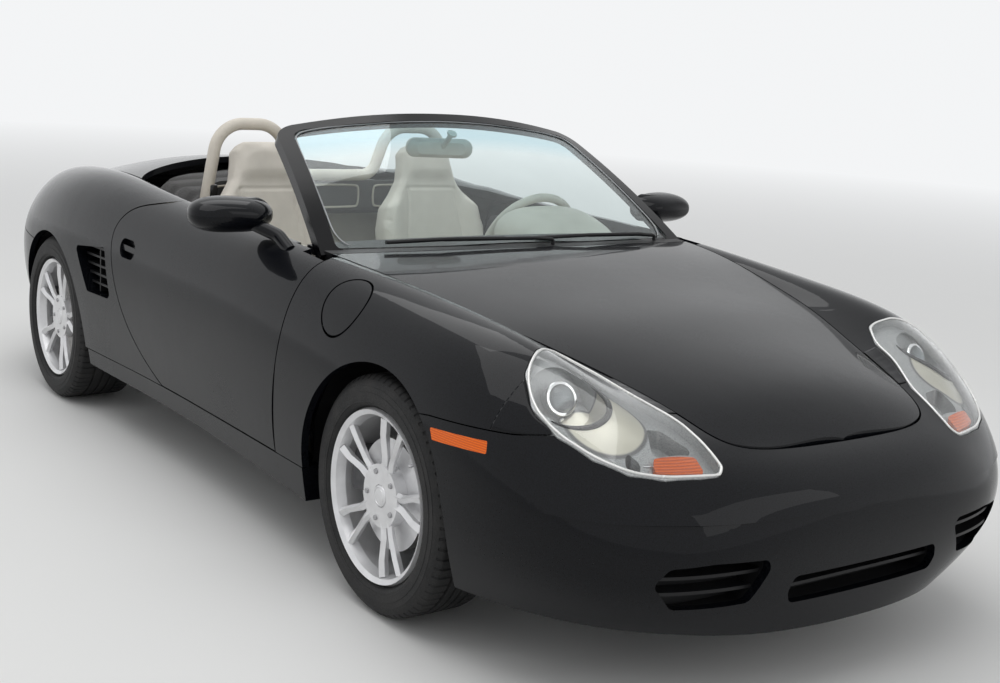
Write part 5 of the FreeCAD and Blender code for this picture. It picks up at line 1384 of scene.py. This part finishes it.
def tailFinish():  # red lens with an amber outer field, a clear inner one and fine ribs
    finish = Finish("tailLens", coat_weight=0.4, coat_roughness=0.03, ior=1.5, specular_ior_level=0.2)
    y, z = finish.axis("Y").math("ABSOLUTE"), finish.axis("Z")
    ridge = finish.wave("Z", tail["ribs"])
    low = finish.before(z, tail["height"])
    amber = low * finish.past(y, tail["amberFrom"])
    clear = low * finish.past(y, tail["clearFrom"]) * (1.0 - amber)
    seam = finish.before((z - tail["height"]).math("ABSOLUTE"), 0.0015, 0.0003)
    red = finish.blend(ridge, (0.27, 0.004, 0.004), (0.12, 0.002, 0.002))
    colour = finish.blend(clear, finish.blend(amber, red, (0.62, 0.12, 0.006)), (0.36, 0.35, 0.34))
    finish.paint(seam, colour, (0.05, 0.004, 0.004))
    finish.set("Roughness", finish.between(ridge, 0.0, 1.0, 0.16, 0.28))
    finish.bump(ridge, 0.0012, 0.4)
    return finish.material


dress("tail_lamps", tailFinish())
dress("windscreen_frame", satinPlastic("framePaint", (0.0035, 0.0035, 0.0042), 0.16, 500.0, 0.0001, 0.16))
dress("inner_mirror", "pale_trim")
print("carpets and tail lamps are finished")

studio = {
    "floor": (0.82, 0.82, 0.81),
    "air": (0.90, 0.91, 0.92),
    "fill": 0.62,
    "size": 60.0,
    "fadeFrom": 3.5,  # metres from the middle, where the floor begins to melt into the backdrop
    "fadeTo": 16.0,
    # lamp: place, size, power, aim
    "lamps": (
        ((1.0, -1.5, 5.5), (6.0, 4.0), 120.0, (0.0, 0.0, 0.5)),
        ((7.5, 2.5, 3.6), (5.0, 2.5), 32.0, (0.8, 0.0, 0.5)),
        ((-3.0, 0.6, 6.2), (4.0, 3.0), 60.0, (-0.5, 0.0, 0.7)),
    ),
}


def buildFloor():
    finish = Finish("studioFloor", roughness=0.9)
    finish.paint(finish.noise(0.6, 3.0), studio["floor"], shade(studio["floor"], 0.97))
    reach = finish.node("ShaderNodeVectorMath", {"operation": "LENGTH"}, {0: finish.object}, "Value")
    glow = finish.node("ShaderNodeEmission", None, {"Color": (*studio["air"], 1.0)}, "Emission")
    far = finish.between(reach, studio["fadeFrom"], studio["fadeTo"])
    surface = Value(finish.tree, finish.shader.outputs["BSDF"])
    mixed = finish.node("ShaderNodeMixShader", None, {0: far, 1: surface, 2: glow})
    finish.tree.links.new(mixed.socket, finish.tree.nodes["Material Output"].inputs["Surface"])
    bm = bmesh.new()
    bmesh.ops.create_grid(bm, x_segments=2, y_segments=2, size=studio["size"])
    floor = newObject("floor", newMesh("floor", bm))
    floor.data.materials.append(finish.material)


def lightUp():
    world = bpy.data.worlds.new("air")
    scene.world = world
    world.use_nodes = True
    tree = world.node_tree
    path = tree.nodes.new("ShaderNodeLightPath")
    shown = Value(tree, path.outputs["Is Camera Ray"]) + Value(tree, path.outputs["Is Glossy Ray"])
    shown = (shown + Value(tree, path.outputs["Is Transmission Ray"])).math("MINIMUM", 1.0)
    sky = tree.nodes["Background"]
    sky.inputs["Color"].default_value = (*studio["air"], 1.0)
    feed(tree, sky.inputs["Strength"], shown * (1.0 - studio["fill"]) + studio["fill"])
    for place, size, power, aim in studio["lamps"]:
        light = bpy.data.lights.new("lamp", "AREA")
        light.shape = "RECTANGLE"
        light.size, light.size_y = size
        light.energy = power
        holder = newObject("lamp", light)
        holder.location = place
        holder.rotation_euler = (Vector(aim) - Vector(place)).to_track_quat("-Z", "Y").to_euler()


shot = {
    "place": (4.16232, -2.59577, 1.47365),
    "yaw": 143.886,
    "pitch": -12.003,
    "roll": 3.877,
    "lens": 50.02,
    "sensor": 36.0,
}


def placeCamera():
    data = bpy.data.cameras.new("shot")
    data.lens = shot["lens"]
    data.sensor_width = shot["sensor"]
    camera = newObject("shot", data)
    yaw, pitch, roll = (math.radians(shot[key]) for key in ("yaw", "pitch", "roll"))
    ahead = Vector((math.cos(pitch) * math.cos(yaw), math.cos(pitch) * math.sin(yaw), math.sin(pitch)))
    turn = ahead.to_track_quat("-Z", "Y")
    camera.rotation_euler = (turn @ Euler((0, 0, roll)).to_quaternion()).to_euler()
    camera.location = shot["place"]
    scene.camera = camera


buildFloor()
lightUp()
placeCamera()
scene.view_settings.view_transform = "Standard"
print("studio and camera are set")
